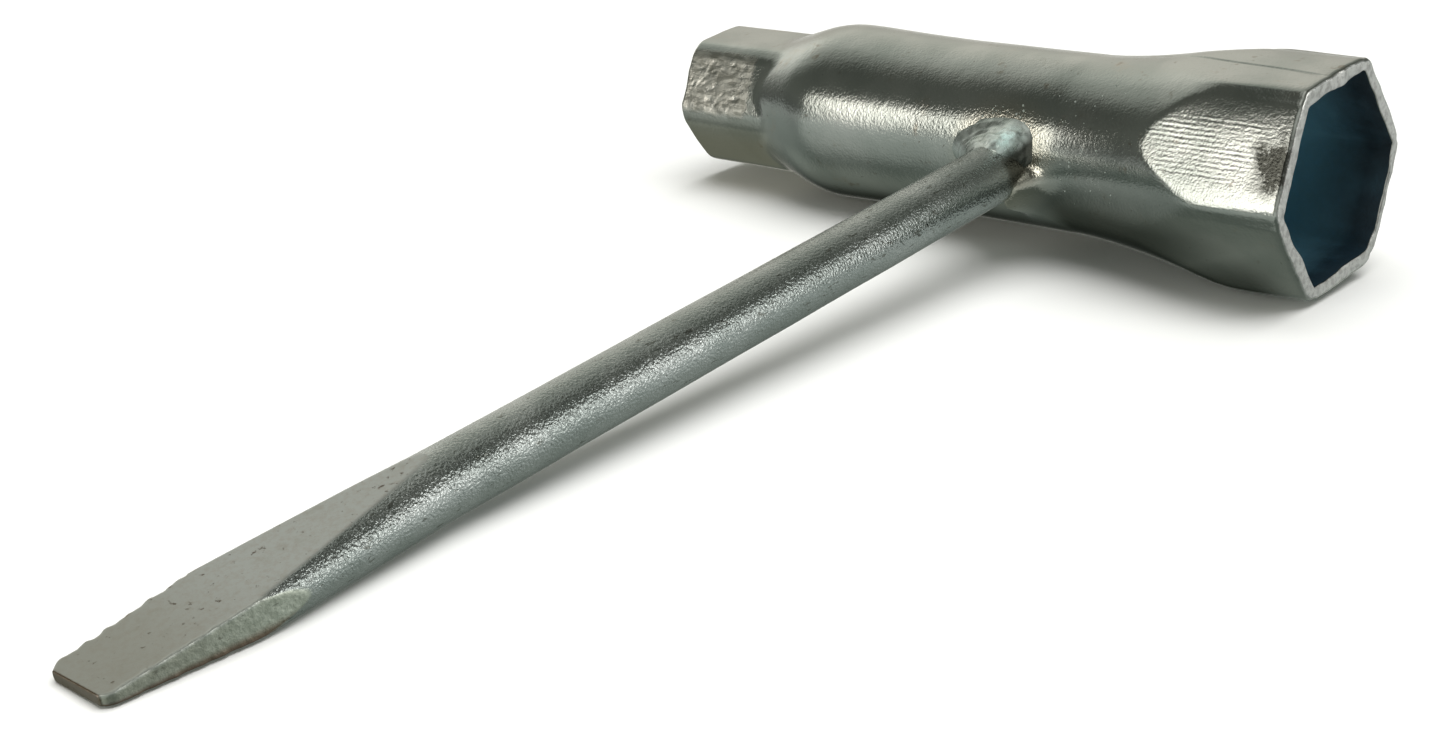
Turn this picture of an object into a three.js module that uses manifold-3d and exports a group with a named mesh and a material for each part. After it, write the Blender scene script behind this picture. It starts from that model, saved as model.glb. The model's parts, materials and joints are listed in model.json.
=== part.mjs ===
// A T-wrench for chainsaws: a swaged tube with a hexagon socket at each end, and a round rod welded across it
// whose free end is pressed and trimmed into a screwdriver blade.
// Millimetres. In the tool's own axes the tube lies along X with the large socket towards +X, the rod points
// along -Y, and two flats of each hexagon face up and down. The finished group is turned by the few degrees
// that the wrench takes when it lies on a table.

import * as THREE from 'three';
import { mergeVertices } from 'three/addons/utils/BufferGeometryUtils.js';
import Module from 'manifold-3d';

const wasm = await Module();
wasm.setup();

// Tube
const TUBE_LENGTH = 84.3;
const BARREL_DIAMETER = 19.6;
const BARREL_WALL = 1.5;
const LARGE_MOUTH_TO_ROD = 34.5; // from the large mouth to the rod's centre line
const SHOULDER_SWELL = 0.45; // the barrel's upset behind the small socket, on the radius
const SWELL_LENGTH = 18; // how far the upset fades along the barrel

// Large socket
const LARGE_NUT = 19; // across flats
const LARGE_WALL = 1.65;
const LARGE_CORNER_RADIUS = 1.5; // outside
const LARGE_FLAT_LENGTH = 16.5; // from the mouth, along the middle of a flat
const LARGE_EDGE_LENGTH = 11; // from the mouth, along a corner
const LARGE_FLARE_LENGTH = 10; // from the end of the flats to the round barrel

// Small socket
const SMALL_NUT = 13; // across flats
const SMALL_WALL = 1.2;
const SMALL_CORNER_RADIUS = 2.2; // outside
const SMALL_FLAT_LENGTH = 13.2; // from the mouth, along the middle of a flat
const SMALL_EDGE_LENGTH = 9.9; // from the mouth, along a corner
const SMALL_SHOULDER_LENGTH = 8.6; // from the end of the flats to the round barrel

// Both sockets
const NUT_CLEARANCE = 0.2; // across flats
const INSIDE_CORNER_RADIUS = 0.4;
const RIM_CHAMFER = 0.4; // outside

// Rod and blade
const ROD_DIAMETER = 6.5;
const ROD_REACH = 125.2; // from the tube's centre line to the tip
const BLADE_LENGTH = 34.7; // from the tip to where the pressed flats run out
const TIP_THICKNESS = 1;
const TIP_WIDTH = 7.8;
const TIP_CORNER_RADIUS = 1.2;
const PRESS_SPREAD = 0.09; // half width gained for each millimetre of pressed length
const TRIM_TAPER = 0.049; // half width lost for each millimetre towards the tip

// Weld beads
const BEAD_LENGTH = 12.2; // along the tube
const BEAD_RISE = 2.15; // up the barrel from the rod's edge
const BEAD_RUN = 3.3; // along the rod from the barrel
const BEAD_SHIFT = -0.9; // along the tube from the rod's centre line
const BEAD_SINK = 0.65; // from the rod's edge down to the bead's middle

// Clearance between pieces that are welded face to face
const SEAT_GAP = 0.3;

// Facets and steps
const SECTOR_ANGLES = [-30, -27, -22, -15, -7.5, 0, 7.5, 15, 22, 27]; // in a hexagon's sixth, from a flat's middle
const TRANSITION_STEPS = 9;
const BARREL_STEPS = 5;
const ROD_SIDES = 48;
const BEAD_SIDES = 32;
const SETTLE_PASSES = 12;
const CUT_MARGIN = 1; // by which a cutting shape runs past what it cuts
const MERGE_DISTANCE = 1e-4; // within which points of a surface are one

const barrelRadius = BARREL_DIAMETER / 2;
const rodRadius = ROD_DIAMETER / 2;
const rodStart = barrelRadius + SEAT_GAP;

const rad = THREE.MathUtils.degToRad;
const clamp01 = (value) => THREE.MathUtils.clamp(value, 0, 1);
const lerp = THREE.MathUtils.lerp;
const smooth = (t) => t * t * (3 - 2 * t);
const easeOut = (t) => t * (2 - t);

// Places along the tube, from the small mouth to the large one
const smallMouth = LARGE_MOUTH_TO_ROD - TUBE_LENGTH;
const smallEdgeEnd = smallMouth + SMALL_EDGE_LENGTH;
const smallFlatEnd = smallMouth + SMALL_FLAT_LENGTH;
const shoulderEnd = smallFlatEnd + SMALL_SHOULDER_LENGTH;
const largeMouth = LARGE_MOUTH_TO_ROD;
const largeFlatEnd = largeMouth - LARGE_FLAT_LENGTH;
const largeEdgeEnd = largeMouth - LARGE_EDGE_LENGTH;
const flareStart = largeFlatEnd - LARGE_FLARE_LENGTH;

// The tube's two skins: each has a hexagon at both ends and a round barrel between
const outerSkin = {
  largeFlats: LARGE_NUT + NUT_CLEARANCE + 2 * LARGE_WALL,
  largeCorner: LARGE_CORNER_RADIUS,
  smallFlats: SMALL_NUT + NUT_CLEARANCE + 2 * SMALL_WALL,
  smallCorner: SMALL_CORNER_RADIUS,
  barrel: barrelRadius,
};
const innerSkin = {
  largeFlats: LARGE_NUT + NUT_CLEARANCE,
  largeCorner: INSIDE_CORNER_RADIUS,
  smallFlats: SMALL_NUT + NUT_CLEARANCE,
  smallCorner: INSIDE_CORNER_RADIUS,
  barrel: barrelRadius - BARREL_WALL,
};

// Distance from the axis to a hexagon with rounded corners, at an angle from the middle of a flat (up to 30 degrees)
function hexagonRadius(acrossFlats, cornerRadius, angle) {
  const half = acrossFlats / 2;
  const fromCorner = rad(30) - Math.abs(angle);
  const centre = (half - cornerRadius) / Math.cos(rad(30));
  const arcEnd = Math.atan2(cornerRadius * Math.sin(rad(30)), centre + cornerRadius * Math.cos(rad(30)));
  if (fromCorner >= arcEnd) {
    return half / Math.cos(angle);
  }
  const across = centre * Math.sin(fromCorner);
  return centre * Math.cos(fromCorner) + Math.sqrt(cornerRadius ** 2 - across ** 2);
}

// Distance from the axis to a skin of the tube, at a place along it and an angle from the middle of a flat
function skinRadius(skin, x, angle) {
  const corner = (Math.abs(angle) / rad(30)) ** 2; // 0 in the middle of a flat, 1 at a corner
  const swell = smooth(clamp01((shoulderEnd + SWELL_LENGTH - x) / SWELL_LENGTH));
  const round = skin.barrel + SHOULDER_SWELL * swell;
  if (x <= shoulderEnd) {
    const hexagon = hexagonRadius(skin.smallFlats, skin.smallCorner, angle);
    const start = lerp(smallFlatEnd, smallEdgeEnd, corner);
    const t = clamp01((x - start) / (shoulderEnd - start));
    return lerp(hexagon, round, lerp(easeOut(t), smooth(t), corner));
  }
  const hexagon = hexagonRadius(skin.largeFlats, skin.largeCorner, angle);
  const end = lerp(largeFlatEnd, largeEdgeEnd, corner);
  return lerp(round, hexagon, smooth(clamp01((x - flareStart) / (end - flareStart))));
}

// Evenly spaced values from one to another, both included
function spaced(from, to, steps) {
  return Array.from({ length: steps + 1 }, (_, i) => lerp(from, to, i / steps));
}

// A closed surface through rings of points. The last ring joins the first, or both ends are capped with fans.
function loft(rings, capped) {
  const count = rings[0].length;
  const points = rings.flat();
  const index = [];
  const joins = capped ? rings.length - 1 : rings.length;
  for (let i = 0; i < joins; i++) {
    const here = i * count;
    const next = ((i + 1) % rings.length) * count;
    for (let j = 0; j < count; j++) {
      const k = (j + 1) % count;
      index.push(here + j, here + k, next + k, here + j, next + k, next + j);
    }
  }
  if (capped) {
    const last = points.length - count;
    for (let j = 1; j < count - 1; j++) {
      index.push(0, j + 1, j, last, last + j, last + j + 1);
    }
  }
  return new THREE.BufferGeometry().setFromPoints(points).setIndex(index);
}

// A solid that can be cut and joined, from a closed geometry
function solidOf(geometry) {
  const bare = geometry.clone();
  bare.deleteAttribute('normal');
  bare.deleteAttribute('uv');
  const merged = mergeVertices(bare, MERGE_DISTANCE);
  const vertProperties = Float32Array.from(merged.attributes.position.array);
  const triVerts = Uint32Array.from(merged.index.array);
  return new wasm.Manifold(new wasm.Mesh({ numProp: 3, vertProperties, triVerts }));
}

// The geometry of a finished solid
function geometryOf(solid) {
  const mesh = solid.getMesh();
  const geometry = new THREE.BufferGeometry();
  geometry.setAttribute('position', new THREE.BufferAttribute(mesh.vertProperties, 3));
  geometry.setIndex(new THREE.BufferAttribute(mesh.triVerts, 1));
  return geometry;
}

// A finished piece: plated steel of a colour and roughness
function namedMesh(name, geometry, colour, roughness) {
  geometry.computeVertexNormals();
  const material = new THREE.MeshStandardMaterial({ color: colour, roughness, metalness: 1 });
  const mesh = new THREE.Mesh(geometry, material);
  mesh.name = name;
  return mesh;
}

// One ring of points of a skin, drawn in by an inset, with two flats facing up and down
function skinRing(skin, x, inset = 0) {
  const ring = [];
  for (let flat = 0; flat < 6; flat++) {
    for (const degrees of SECTOR_ANGLES) {
      const r = skinRadius(skin, x, rad(degrees)) - inset;
      const around = rad(60 * flat + degrees);
      ring.push(new THREE.Vector3(x, -r * Math.sin(around), r * Math.cos(around)));
    }
  }
  return ring;
}

// The swaged tube: out along the outer skin, over the large rim, back along the bore and over the small rim
function socketTube() {
  const stations = [
    smallMouth,
    ...spaced(smallEdgeEnd, shoulderEnd, TRANSITION_STEPS),
    ...spaced(shoulderEnd, flareStart, BARREL_STEPS).slice(1, -1),
    ...spaced(flareStart, largeEdgeEnd, TRANSITION_STEPS),
    largeMouth,
  ];
  const chamfered = [smallMouth + RIM_CHAMFER, ...stations.slice(1, -1), largeMouth - RIM_CHAMFER];
  const outside = [
    skinRing(outerSkin, smallMouth, RIM_CHAMFER),
    ...chamfered.map((x) => skinRing(outerSkin, x)),
    skinRing(outerSkin, largeMouth, RIM_CHAMFER),
  ];
  const inside = stations.toReversed().map((x) => skinRing(innerSkin, x));
  return namedMesh('socket_tube', loft([...outside, ...inside], false), 0xa3aaa6, 0.28);
}

// One round or oval section of the rod, across X
function rodRing(x, halfWidth) {
  const ring = [];
  for (let i = 0; i < ROD_SIDES; i++) {
    const around = (2 * Math.PI * i) / ROD_SIDES;
    ring.push(new THREE.Vector3(x, -halfWidth * Math.sin(around), rodRadius * Math.cos(around)));
  }
  return ring;
}

// The rod along its own +X: round stock that spreads where it is pressed, between two flats, with trimmed sides
function driverRod() {
  const bladeStart = ROD_REACH - BLADE_LENGTH;
  const spread = rodRadius + PRESS_SPREAD * BLADE_LENGTH;
  const rings = [rodRing(rodStart, rodRadius), rodRing(bladeStart, rodRadius), rodRing(ROD_REACH, spread)];
  const stock = solidOf(loft(rings, true));

  const widest = 2 * spread;
  const flats = new THREE.Shape();
  flats.moveTo(rodStart - CUT_MARGIN, -widest);
  flats.lineTo(bladeStart - CUT_MARGIN, -widest);
  flats.lineTo(bladeStart, -rodRadius);
  flats.lineTo(ROD_REACH, -TIP_THICKNESS / 2);
  flats.lineTo(ROD_REACH, TIP_THICKNESS / 2);
  flats.lineTo(bladeStart, rodRadius);
  flats.lineTo(bladeStart - CUT_MARGIN, widest);
  flats.lineTo(rodStart - CUT_MARGIN, widest);
  const press = new THREE.ExtrudeGeometry(flats, { depth: 2 * widest, bevelEnabled: false });
  press.translate(0, 0, -widest).rotateX(Math.PI / 2);

  const trimLength = ROD_REACH - rodStart + CUT_MARGIN;
  const back = TIP_WIDTH / 2 + TRIM_TAPER * trimLength;
  const lean = Math.atan(TRIM_TAPER);
  const round = TIP_CORNER_RADIUS;
  const roundX = ROD_REACH - round;
  const roundY = TIP_WIDTH / 2 + TRIM_TAPER * round - round / Math.cos(lean);
  const outline = new THREE.Shape();
  outline.moveTo(ROD_REACH - trimLength, back);
  outline.lineTo(ROD_REACH - trimLength, -back);
  outline.absarc(roundX, -roundY, round, lean - Math.PI / 2, 0, false);
  outline.absarc(roundX, roundY, round, 0, Math.PI / 2 - lean, false);
  const trim = new THREE.ExtrudeGeometry(outline, { depth: 2 * widest, bevelEnabled: false, curveSegments: 6 });
  trim.translate(0, 0, -widest);

  const solid = stock.intersect(solidOf(press)).intersect(solidOf(trim));
  return namedMesh('driver_rod', geometryOf(solid), 0x8f9895, 0.42);
}

// A weld bead in the corner between rod and barrel, above the rod (side 1) or below it (side -1)
function weldBead(name, side) {
  const rise = BEAD_RISE + BEAD_SINK;
  const bead = new THREE.SphereGeometry(1, BEAD_SIDES, BEAD_SIDES / 2);
  bead.scale(BEAD_RUN, BEAD_LENGTH / 2, rise);
  bead.translate(barrelRadius, side * BEAD_SHIFT, side * (rodRadius - BEAD_SINK));

  const barrel = new THREE.CylinderGeometry(rodStart, rodStart, 2 * BEAD_LENGTH, 6 * SECTOR_ANGLES.length);
  const around = rodRadius + SEAT_GAP;
  const rod = new THREE.CylinderGeometry(around, around, 2 * rodStart + 2 * BEAD_RUN, ROD_SIDES);
  rod.rotateZ(Math.PI / 2).translate(rodStart + BEAD_RUN, 0, 0);

  const solid = solidOf(bead).subtract(solidOf(barrel)).subtract(solidOf(rod));
  return namedMesh(name, geometryOf(solid), 0x9fb0aa, 0.5);
}

// The lowest point of a mesh as it lies, among the points that a test on their own place picks
function lowestPoint(mesh, picks) {
  const place = mesh.geometry.attributes.position;
  const lowest = new THREE.Vector3(0, 0, Infinity);
  for (let i = 0; i < place.count; i++) {
    const own = new THREE.Vector3().fromBufferAttribute(place, i);
    const lies = own.clone().applyMatrix4(mesh.matrixWorld);
    if (picks(own) && lies.z < lowest.z) {
      lowest.copy(lies);
    }
  }
  return lowest;
}

// Lays the tool on the table, on the blade's tip and on both halves of the tube. The rod stays in line with Y,
// and the box is centred on the origin.
function restOnTable(tool, tube, rod) {
  const up = new THREE.Vector3(0, 0, 1);
  for (let pass = 0; pass < SETTLE_PASSES; pass++) {
    tool.updateMatrixWorld(true);
    const tip = lowestPoint(rod, () => true);
    const largeHalf = lowestPoint(tube, (point) => point.x > 0);
    const smallHalf = lowestPoint(tube, (point) => point.x < 0);
    const table = new THREE.Triangle(tip, largeHalf, smallHalf).getNormal(new THREE.Vector3());
    tool.quaternion.premultiply(new THREE.Quaternion().setFromUnitVectors(table, up));
    const along = new THREE.Vector3(0, -1, 0).applyQuaternion(tool.quaternion);
    tool.rotateOnWorldAxis(up, -Math.atan2(along.x, -along.y));
  }
  const box = new THREE.Box3().setFromObject(tool, true);
  const centre = box.getCenter(new THREE.Vector3());
  tool.position.set(-centre.x, -centre.y, -box.min.z);
}

const tube = socketTube();
const rod = driverRod();
const handle = new THREE.Group();
handle.rotation.z = -Math.PI / 2;
handle.add(rod, weldBead('weld_bead_upper', 1), weldBead('weld_bead_lower', -1));

const tool = new THREE.Group();
tool.add(tube, handle);
restOnTable(tool, tube, rod);

const wrench = new THREE.Group();
wrench.add(tool);

export default wrench;
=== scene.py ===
"""Looks of a zinc-plated T-wrench: a swaged socket tube, a rod pressed into a blade, and two weld beads.

Sizes are millimetres in the tool's own axes, as the part is drawn: the tube lies along X with the large
socket towards +X, the rod points along -Y, and two flats of each hexagon face up and down. An angle round
the tube starts at the top and grows towards the rod. Finished meshes lie in metres in the frame of the
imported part.
"""

import json
import logging
import math
from collections.abc import Callable
from dataclasses import dataclass
from enum import Enum

import bpy
import numpy as np
from mathutils import Matrix


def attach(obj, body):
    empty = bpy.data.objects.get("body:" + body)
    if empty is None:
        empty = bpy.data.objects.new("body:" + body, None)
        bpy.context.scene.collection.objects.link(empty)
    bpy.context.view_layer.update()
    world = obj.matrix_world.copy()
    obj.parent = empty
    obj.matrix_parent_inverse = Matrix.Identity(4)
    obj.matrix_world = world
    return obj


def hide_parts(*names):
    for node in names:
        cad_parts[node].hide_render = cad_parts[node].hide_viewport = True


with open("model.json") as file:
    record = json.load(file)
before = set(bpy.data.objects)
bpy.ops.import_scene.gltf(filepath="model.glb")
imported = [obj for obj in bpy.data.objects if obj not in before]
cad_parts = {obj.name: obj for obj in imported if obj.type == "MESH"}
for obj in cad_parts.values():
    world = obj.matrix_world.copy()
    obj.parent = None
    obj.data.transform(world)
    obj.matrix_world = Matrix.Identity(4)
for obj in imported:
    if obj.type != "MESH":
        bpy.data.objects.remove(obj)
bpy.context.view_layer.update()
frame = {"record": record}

log = logging.getLogger("t_wrench")

MM = 0.001
TINY = 1e-9
TAU = 2 * math.pi
SIXTH = math.radians(60)
BODY = "root"
RIM_MOUNT_HEIGHT = 10.2
SAMPLES_PER_GAP = 20

Array = np.ndarray
Piece = bpy.types.Object
Material = bpy.types.Material
Socket = bpy.types.NodeSocket
Colour = tuple[float, float, float]
Direction = tuple[float, float, float]
Place = tuple[float, float, float]
Span = tuple[float, float]
Number = Socket | float
Tint = Socket | Colour


class Slot(Enum):
    """The record's material slots."""

    TUBE = "plated_tube"
    ROD = "plated_rod"
    WELD = "plated_weld"


class Mask(Enum):
    """Names of the values that the meshes carry at their points, for the finishes and the node trees."""

    ROW_ACROSS = "row_across"
    ROW_ALONG = "row_along"
    ROW_SHARE = "row_share"
    BORE = "bore"
    CUT = "cut_face"
    WORN = "worn_edge"
    HEAT = "weld_heat"
    SCUFF = "scuffed"
    DARK_REFLECTION = "painted_dark_reflection"
    UNDERSIDE_SHADE = "painted_underside_shade"
    UNDERSIDE_CAST = "underside_cast"
    FRET = "fretted"
    DEPTH = "bore_depth"
    PRESSED = "pressed_flat"
    SHEARED = "sheared_side"
    DENSITY = "speck_density"
    CORE = "weld_core"
    BURN = "painted_pocket_shade"
    TIP = "blade_tip"
    RUST = "rusty_edge"


def ramp(value: Array, low: float, high: float) -> Array:
    """A smooth step from 0 at low to 1 at high; low may be the larger one."""
    t = np.clip((value - low) / (high - low), 0, 1)
    return t * t * (3 - 2 * t)


def smooth_min(a: Array, b: Array, blend: float | Array) -> Array:
    """The smaller of two values, rounded where they differ by less than the blend."""
    share = np.clip(0.5 + 0.5 * (b - a) / blend, 0, 1)
    return b + (a - b) * share - blend * share * (1 - share)


def spread(low: float, high: float, count: int, density: Callable[[Array], Array]) -> Array:
    """Places between two ends, closer together where the density is higher.

    Args:
        low: First place.
        high: Last place.
        count: Number of gaps.
        density: Function of the place that gives the wanted places per length, up to a factor.

    Returns:
        count + 1 places, both ends included.
    """
    fine = np.linspace(low, high, SAMPLES_PER_GAP * count)
    total = np.concatenate([[0], np.cumsum((density(fine[1:]) + density(fine[:-1])) / 2)])
    return np.interp(np.linspace(0, total[-1], count + 1), total, fine)


def off_flat(around: Array, flat: int) -> Array:
    """Angles from the middle of a numbered flat, within half a turn; flat 0 is the top one."""
    return (around - flat * SIXTH + math.pi) % TAU - math.pi


@dataclass(frozen=True)
class Wobble:
    """A smooth random field: a sum of seeded waves whose wave numbers fill a band."""

    seed: int
    wavelength: float
    waves: int = 14
    band: Span = (0.6, 1.4)

    def at(self, points: Array) -> Array:
        """The field at points.

        Args:
            points: Places in millimetres, with three numbers each in the last axis.

        Returns:
            Values that are mostly between -1 and 1.
        """
        draw = np.random.default_rng(self.seed)
        ways = draw.normal(size=(self.waves, 3))
        cycles = draw.uniform(*self.band, self.waves) / self.wavelength
        ways *= (TAU * cycles / np.linalg.norm(ways, axis=1))[:, None]
        phases = draw.uniform(0, TAU, self.waves)
        return np.sin(points @ ways.T + phases).sum(axis=-1) / math.sqrt(2 * self.waves)


@dataclass(frozen=True)
class ToolFrame:
    """Where the tool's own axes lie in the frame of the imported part."""

    axes: Array
    origin: Array

    @classmethod
    def from_record(cls, record: dict, rim_point: Place) -> "ToolFrame":
        """Reads the tool's place from the record's mounts.

        Args:
            record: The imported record.
            rim_point: The large rim's mount in the tool's own axes.

        Returns:
            The tool's frame, with its origin in millimetres.
        """
        mounts = {mount["name"]: mount for mount in record["mounts"]}
        along_tube = np.array(mounts["large_socket_rim"]["axis"])
        along_rod = -np.array(mounts["blade_tip"]["axis"])
        axes = np.column_stack([along_tube, along_rod, np.cross(along_tube, along_rod)])
        axes /= np.linalg.norm(axes, axis=0)
        origin = np.array(mounts["large_socket_rim"]["pos_m"]) / MM - axes @ np.array(rim_point)
        return cls(axes, origin)

    def place(self, points: Array) -> Array:
        """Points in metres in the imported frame, from millimetres in the tool's axes."""
        return (points @ self.axes.T + self.origin) * MM


@dataclass(frozen=True)
class TubePlaces:
    """Places on the tube's skin: how far along it and at which angle round it."""

    x: Array
    around: Array

    @property
    def upward(self) -> Array:
        """How far the skin faces up: 1 at the top and -1 underneath."""
        return np.cos(self.around)

    def across(self, flat: int, half: float) -> Array:
        """Distances across a numbered flat from its middle, for a flat at a distance from the axis."""
        return np.tan(np.clip(off_flat(self.around, flat), -1, 1)) * half

    def points(self, radius: Array) -> Array:
        """Points at distances from the tube's axis."""
        return np.stack([self.x, -radius * np.sin(self.around), radius * self.upward], axis=-1)


@dataclass(frozen=True)
class ShadeBand:
    """A soft band of painted shade or painted tint on the downward-facing sides: how far down it faces, where
    along the tube it starts and ends, its strength.
    """

    facing: Span
    start: Span
    end: Span
    strength: float = 1.0

    def share(self, at: TubePlaces) -> Array:
        """How strong the painted band is at places on the tube."""
        along = ramp(at.x, *self.start) * ramp(at.x, *self.end)
        return ramp(at.upward, *self.facing) * along * self.strength


@dataclass(frozen=True)
class ShadePatch:
    """A soft oval patch of painted shade on a flat: its middle, half sizes, limits of fading, strength and
    raggedness.
    """

    x: float
    across: float
    half_length: float
    half_width: float
    fade: Span
    strength: float
    ragged: float = 0.0

    def share(self, x: Array, across: Array, noise: Array) -> Array:
        """How strong the patch is at places along and across the flat, with noise for its edge."""
        off = np.hypot((x - self.x) / self.half_length, (across - self.across) / self.half_width)
        return ramp(off + self.ragged * noise, *self.fade) * self.strength


def grid_faces(rows: int, columns: int, close_rows: bool, close_columns: bool = True) -> Array:
    """Quads over a grid of points.

    Args:
        rows: Number of rows.
        columns: Number of points in a row.
        close_rows: Whether the last row joins the first.
        close_columns: Whether the last point of a row joins its first.

    Returns:
        Four point numbers for each face.
    """
    row = np.arange(rows if close_rows else rows - 1)[:, None] * columns
    next_row = (row + columns) % (rows * columns)
    here = np.arange(columns if close_columns else columns - 1)[None, :]
    following = (here + 1) % columns
    corners = [row + here, row + following, next_row + following, next_row + here]
    return np.stack(corners, axis=-1).reshape(-1, 4)


def signed_volume(points: Array, quads: Array) -> float:
    """Volume inside closed quads, positive where the faces point outwards."""
    a, b, c, d = (points[quads[:, i]] for i in range(4))
    return float(np.einsum("ij,ij->", a, np.cross(b, c)) + np.einsum("ij,ij->", a, np.cross(c, d))) / 6


def pose(axes: Array, place: Array) -> Matrix:
    """The matrix of an object whose axes are the columns of an array."""
    return Matrix([[*axes[i], place[i]] for i in range(3)] + [[0, 0, 0, 1]])


def add_object(name: str, data: bpy.types.ID) -> Piece:
    """Links a new object to the scene, for a mesh, a lamp or a camera.

    Args:
        name: The object's name.
        data: What it shows.

    Returns:
        The object.
    """
    made = bpy.data.objects.new(name, data)
    bpy.context.scene.collection.objects.link(made)
    return made


def add_mesh(name: str, points: Array, faces: list[list[int]], masks: dict[Mask, Array]) -> Piece:
    """Links a new object whose mesh carries values at its points.

    Args:
        name: The object's name.
        points: Places in metres, with three numbers each in the last axis.
        faces: Point numbers of each face.
        masks: Values for the points, by the name that the finishes read.

    Returns:
        The object.
    """
    mesh = bpy.data.meshes.new(name)
    mesh.from_pydata(points.reshape(-1, 3).tolist(), [], faces)
    for mask, values in masks.items():
        attribute = mesh.attributes.new(mask.value, "FLOAT", "POINT")
        everywhere = np.broadcast_to(values, points.shape[:-1])
        attribute.data.foreach_set("value", np.ascontiguousarray(everywhere, np.float32).ravel())
    return add_object(name, mesh)


def add_solid(name: str, points: Array, close_rows: bool, masks: dict[Mask, Array]) -> Piece:
    """Links a new closed and smoothly shaded object from rows of points.

    Args:
        name: The piece's name.
        points: Rows, columns and coordinates in metres. Columns close on themselves.
        close_rows: Whether the last row joins the first; otherwise both end rows are capped.
        masks: Values for the points, by the name that the finishes read.

    Returns:
        The object.
    """
    rows, columns = points.shape[:2]
    quads = grid_faces(rows, columns, close_rows)
    faces = quads.tolist()
    if not close_rows:
        last = (rows - 1) * columns
        faces += [list(range(columns))[::-1], list(range(last, last + columns))]
    flat = points.reshape(-1, 3)
    if signed_volume(flat - flat.mean(axis=0), quads) < 0:
        faces = [corners[::-1] for corners in faces]
    piece = add_mesh(name, points, faces, masks)
    piece.data.shade_smooth()
    piece.data.update()
    return piece


def hand_over(piece: Piece, node: str | None = None) -> None:
    """Fixes a finished piece to the tool's body.

    Args:
        piece: The piece.
        node: The CAD node that it stands in for, if there is one.
    """
    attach(piece, BODY)
    if node:
        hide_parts(node)


def report(piece: Piece) -> None:
    """Logs a finished piece."""
    log.info("%s: %d faces", piece.name, len(piece.data.polygons))


@dataclass(frozen=True)
class Grain:
    """Soft noise: its cycles for each unit of the place, its octaves of detail and their strength."""

    scale: float
    detail: float
    rough: float


@dataclass(frozen=True)
class Patches(Grain):
    """Noise in patches: where it passes from a low to a high value, they go from the least to the most."""

    low: float
    high: float
    least: float = 0.0
    most: float = 1.0


@dataclass(frozen=True)
class Relief(Grain):
    """Noise as relief, with its depth in millimetres."""

    depth: float


class NodeMaker:
    """Adds nodes to a tree and links them, with plain values set on the sockets."""

    def __init__(self, tree: bpy.types.NodeTree) -> None:
        """Starts from a tree, which is emptied."""
        self.tree = tree
        tree.nodes.clear()

    def add(self, kind: str, settings: dict | None = None, **inputs: object) -> bpy.types.Node:
        """Adds one node.

        Args:
            kind: The node's type name.
            settings: Properties of the node, set before its sockets.
            **inputs: Socket values or sockets to link, by the socket's name with spaces as underscores, or
                by its number after the letter i.

        Returns:
            The node.
        """
        node = self.tree.nodes.new(kind)
        for key, value in (settings or {}).items():
            setattr(node, key, value)
        for key, value in inputs.items():
            numbered = key[0] == "i" and key[1:].isdigit()
            self.feed(node.inputs[int(key[1:]) if numbered else key.replace("_", " ")], value)
        return node

    def feed(self, socket: Socket, value: object) -> None:
        """Links a socket to another one, or sets its value.

        Args:
            socket: The socket that takes the value.
            value: A socket or a plain value.
        """
        if isinstance(value, Socket):
            self.tree.links.new(value, socket)
        else:
            socket.default_value = value

    def math(
        self, operation: str, a: Number, b: Number = 0.0, c: Number = 0.0, clamp: bool = False
    ) -> Socket:
        """An operation on up to three numbers."""
        settings = {"operation": operation, "use_clamp": clamp}
        return self.add("ShaderNodeMath", settings, i0=a, i1=b, i2=c).outputs[0]

    def times(self, first: Number, *others: Number) -> Socket:
        """The product of some numbers.

        Args:
            first: A number.
            *others: The numbers that multiply it.

        Returns:
            The product.
        """
        for other in others:
            first = self.math("MULTIPLY", first, other)
        return first

    def step(self, value: Number, low: float, high: float, least: float = 0.0, most: float = 1.0) -> Socket:
        """A smooth step of a number, from the least at low to the most at high."""
        return self.add("ShaderNodeMapRange", {"interpolation_type": "SMOOTHSTEP"}, Value=value,
                        From_Min=low, From_Max=high, To_Min=least, To_Max=most).outputs[0]

    def noise(self, place: Socket, kind: Grain) -> Socket:
        """Soft noise from 0 to 1."""
        return self.add("ShaderNodeTexNoise", Vector=place, Scale=kind.scale, Detail=kind.detail,
                        Roughness=kind.rough).outputs[0]

    def patches(self, place: Socket, kind: Patches) -> Socket:
        """Soft noise that is cut into patches."""
        return self.step(self.noise(place, kind), kind.low, kind.high, kind.least, kind.most)


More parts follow.
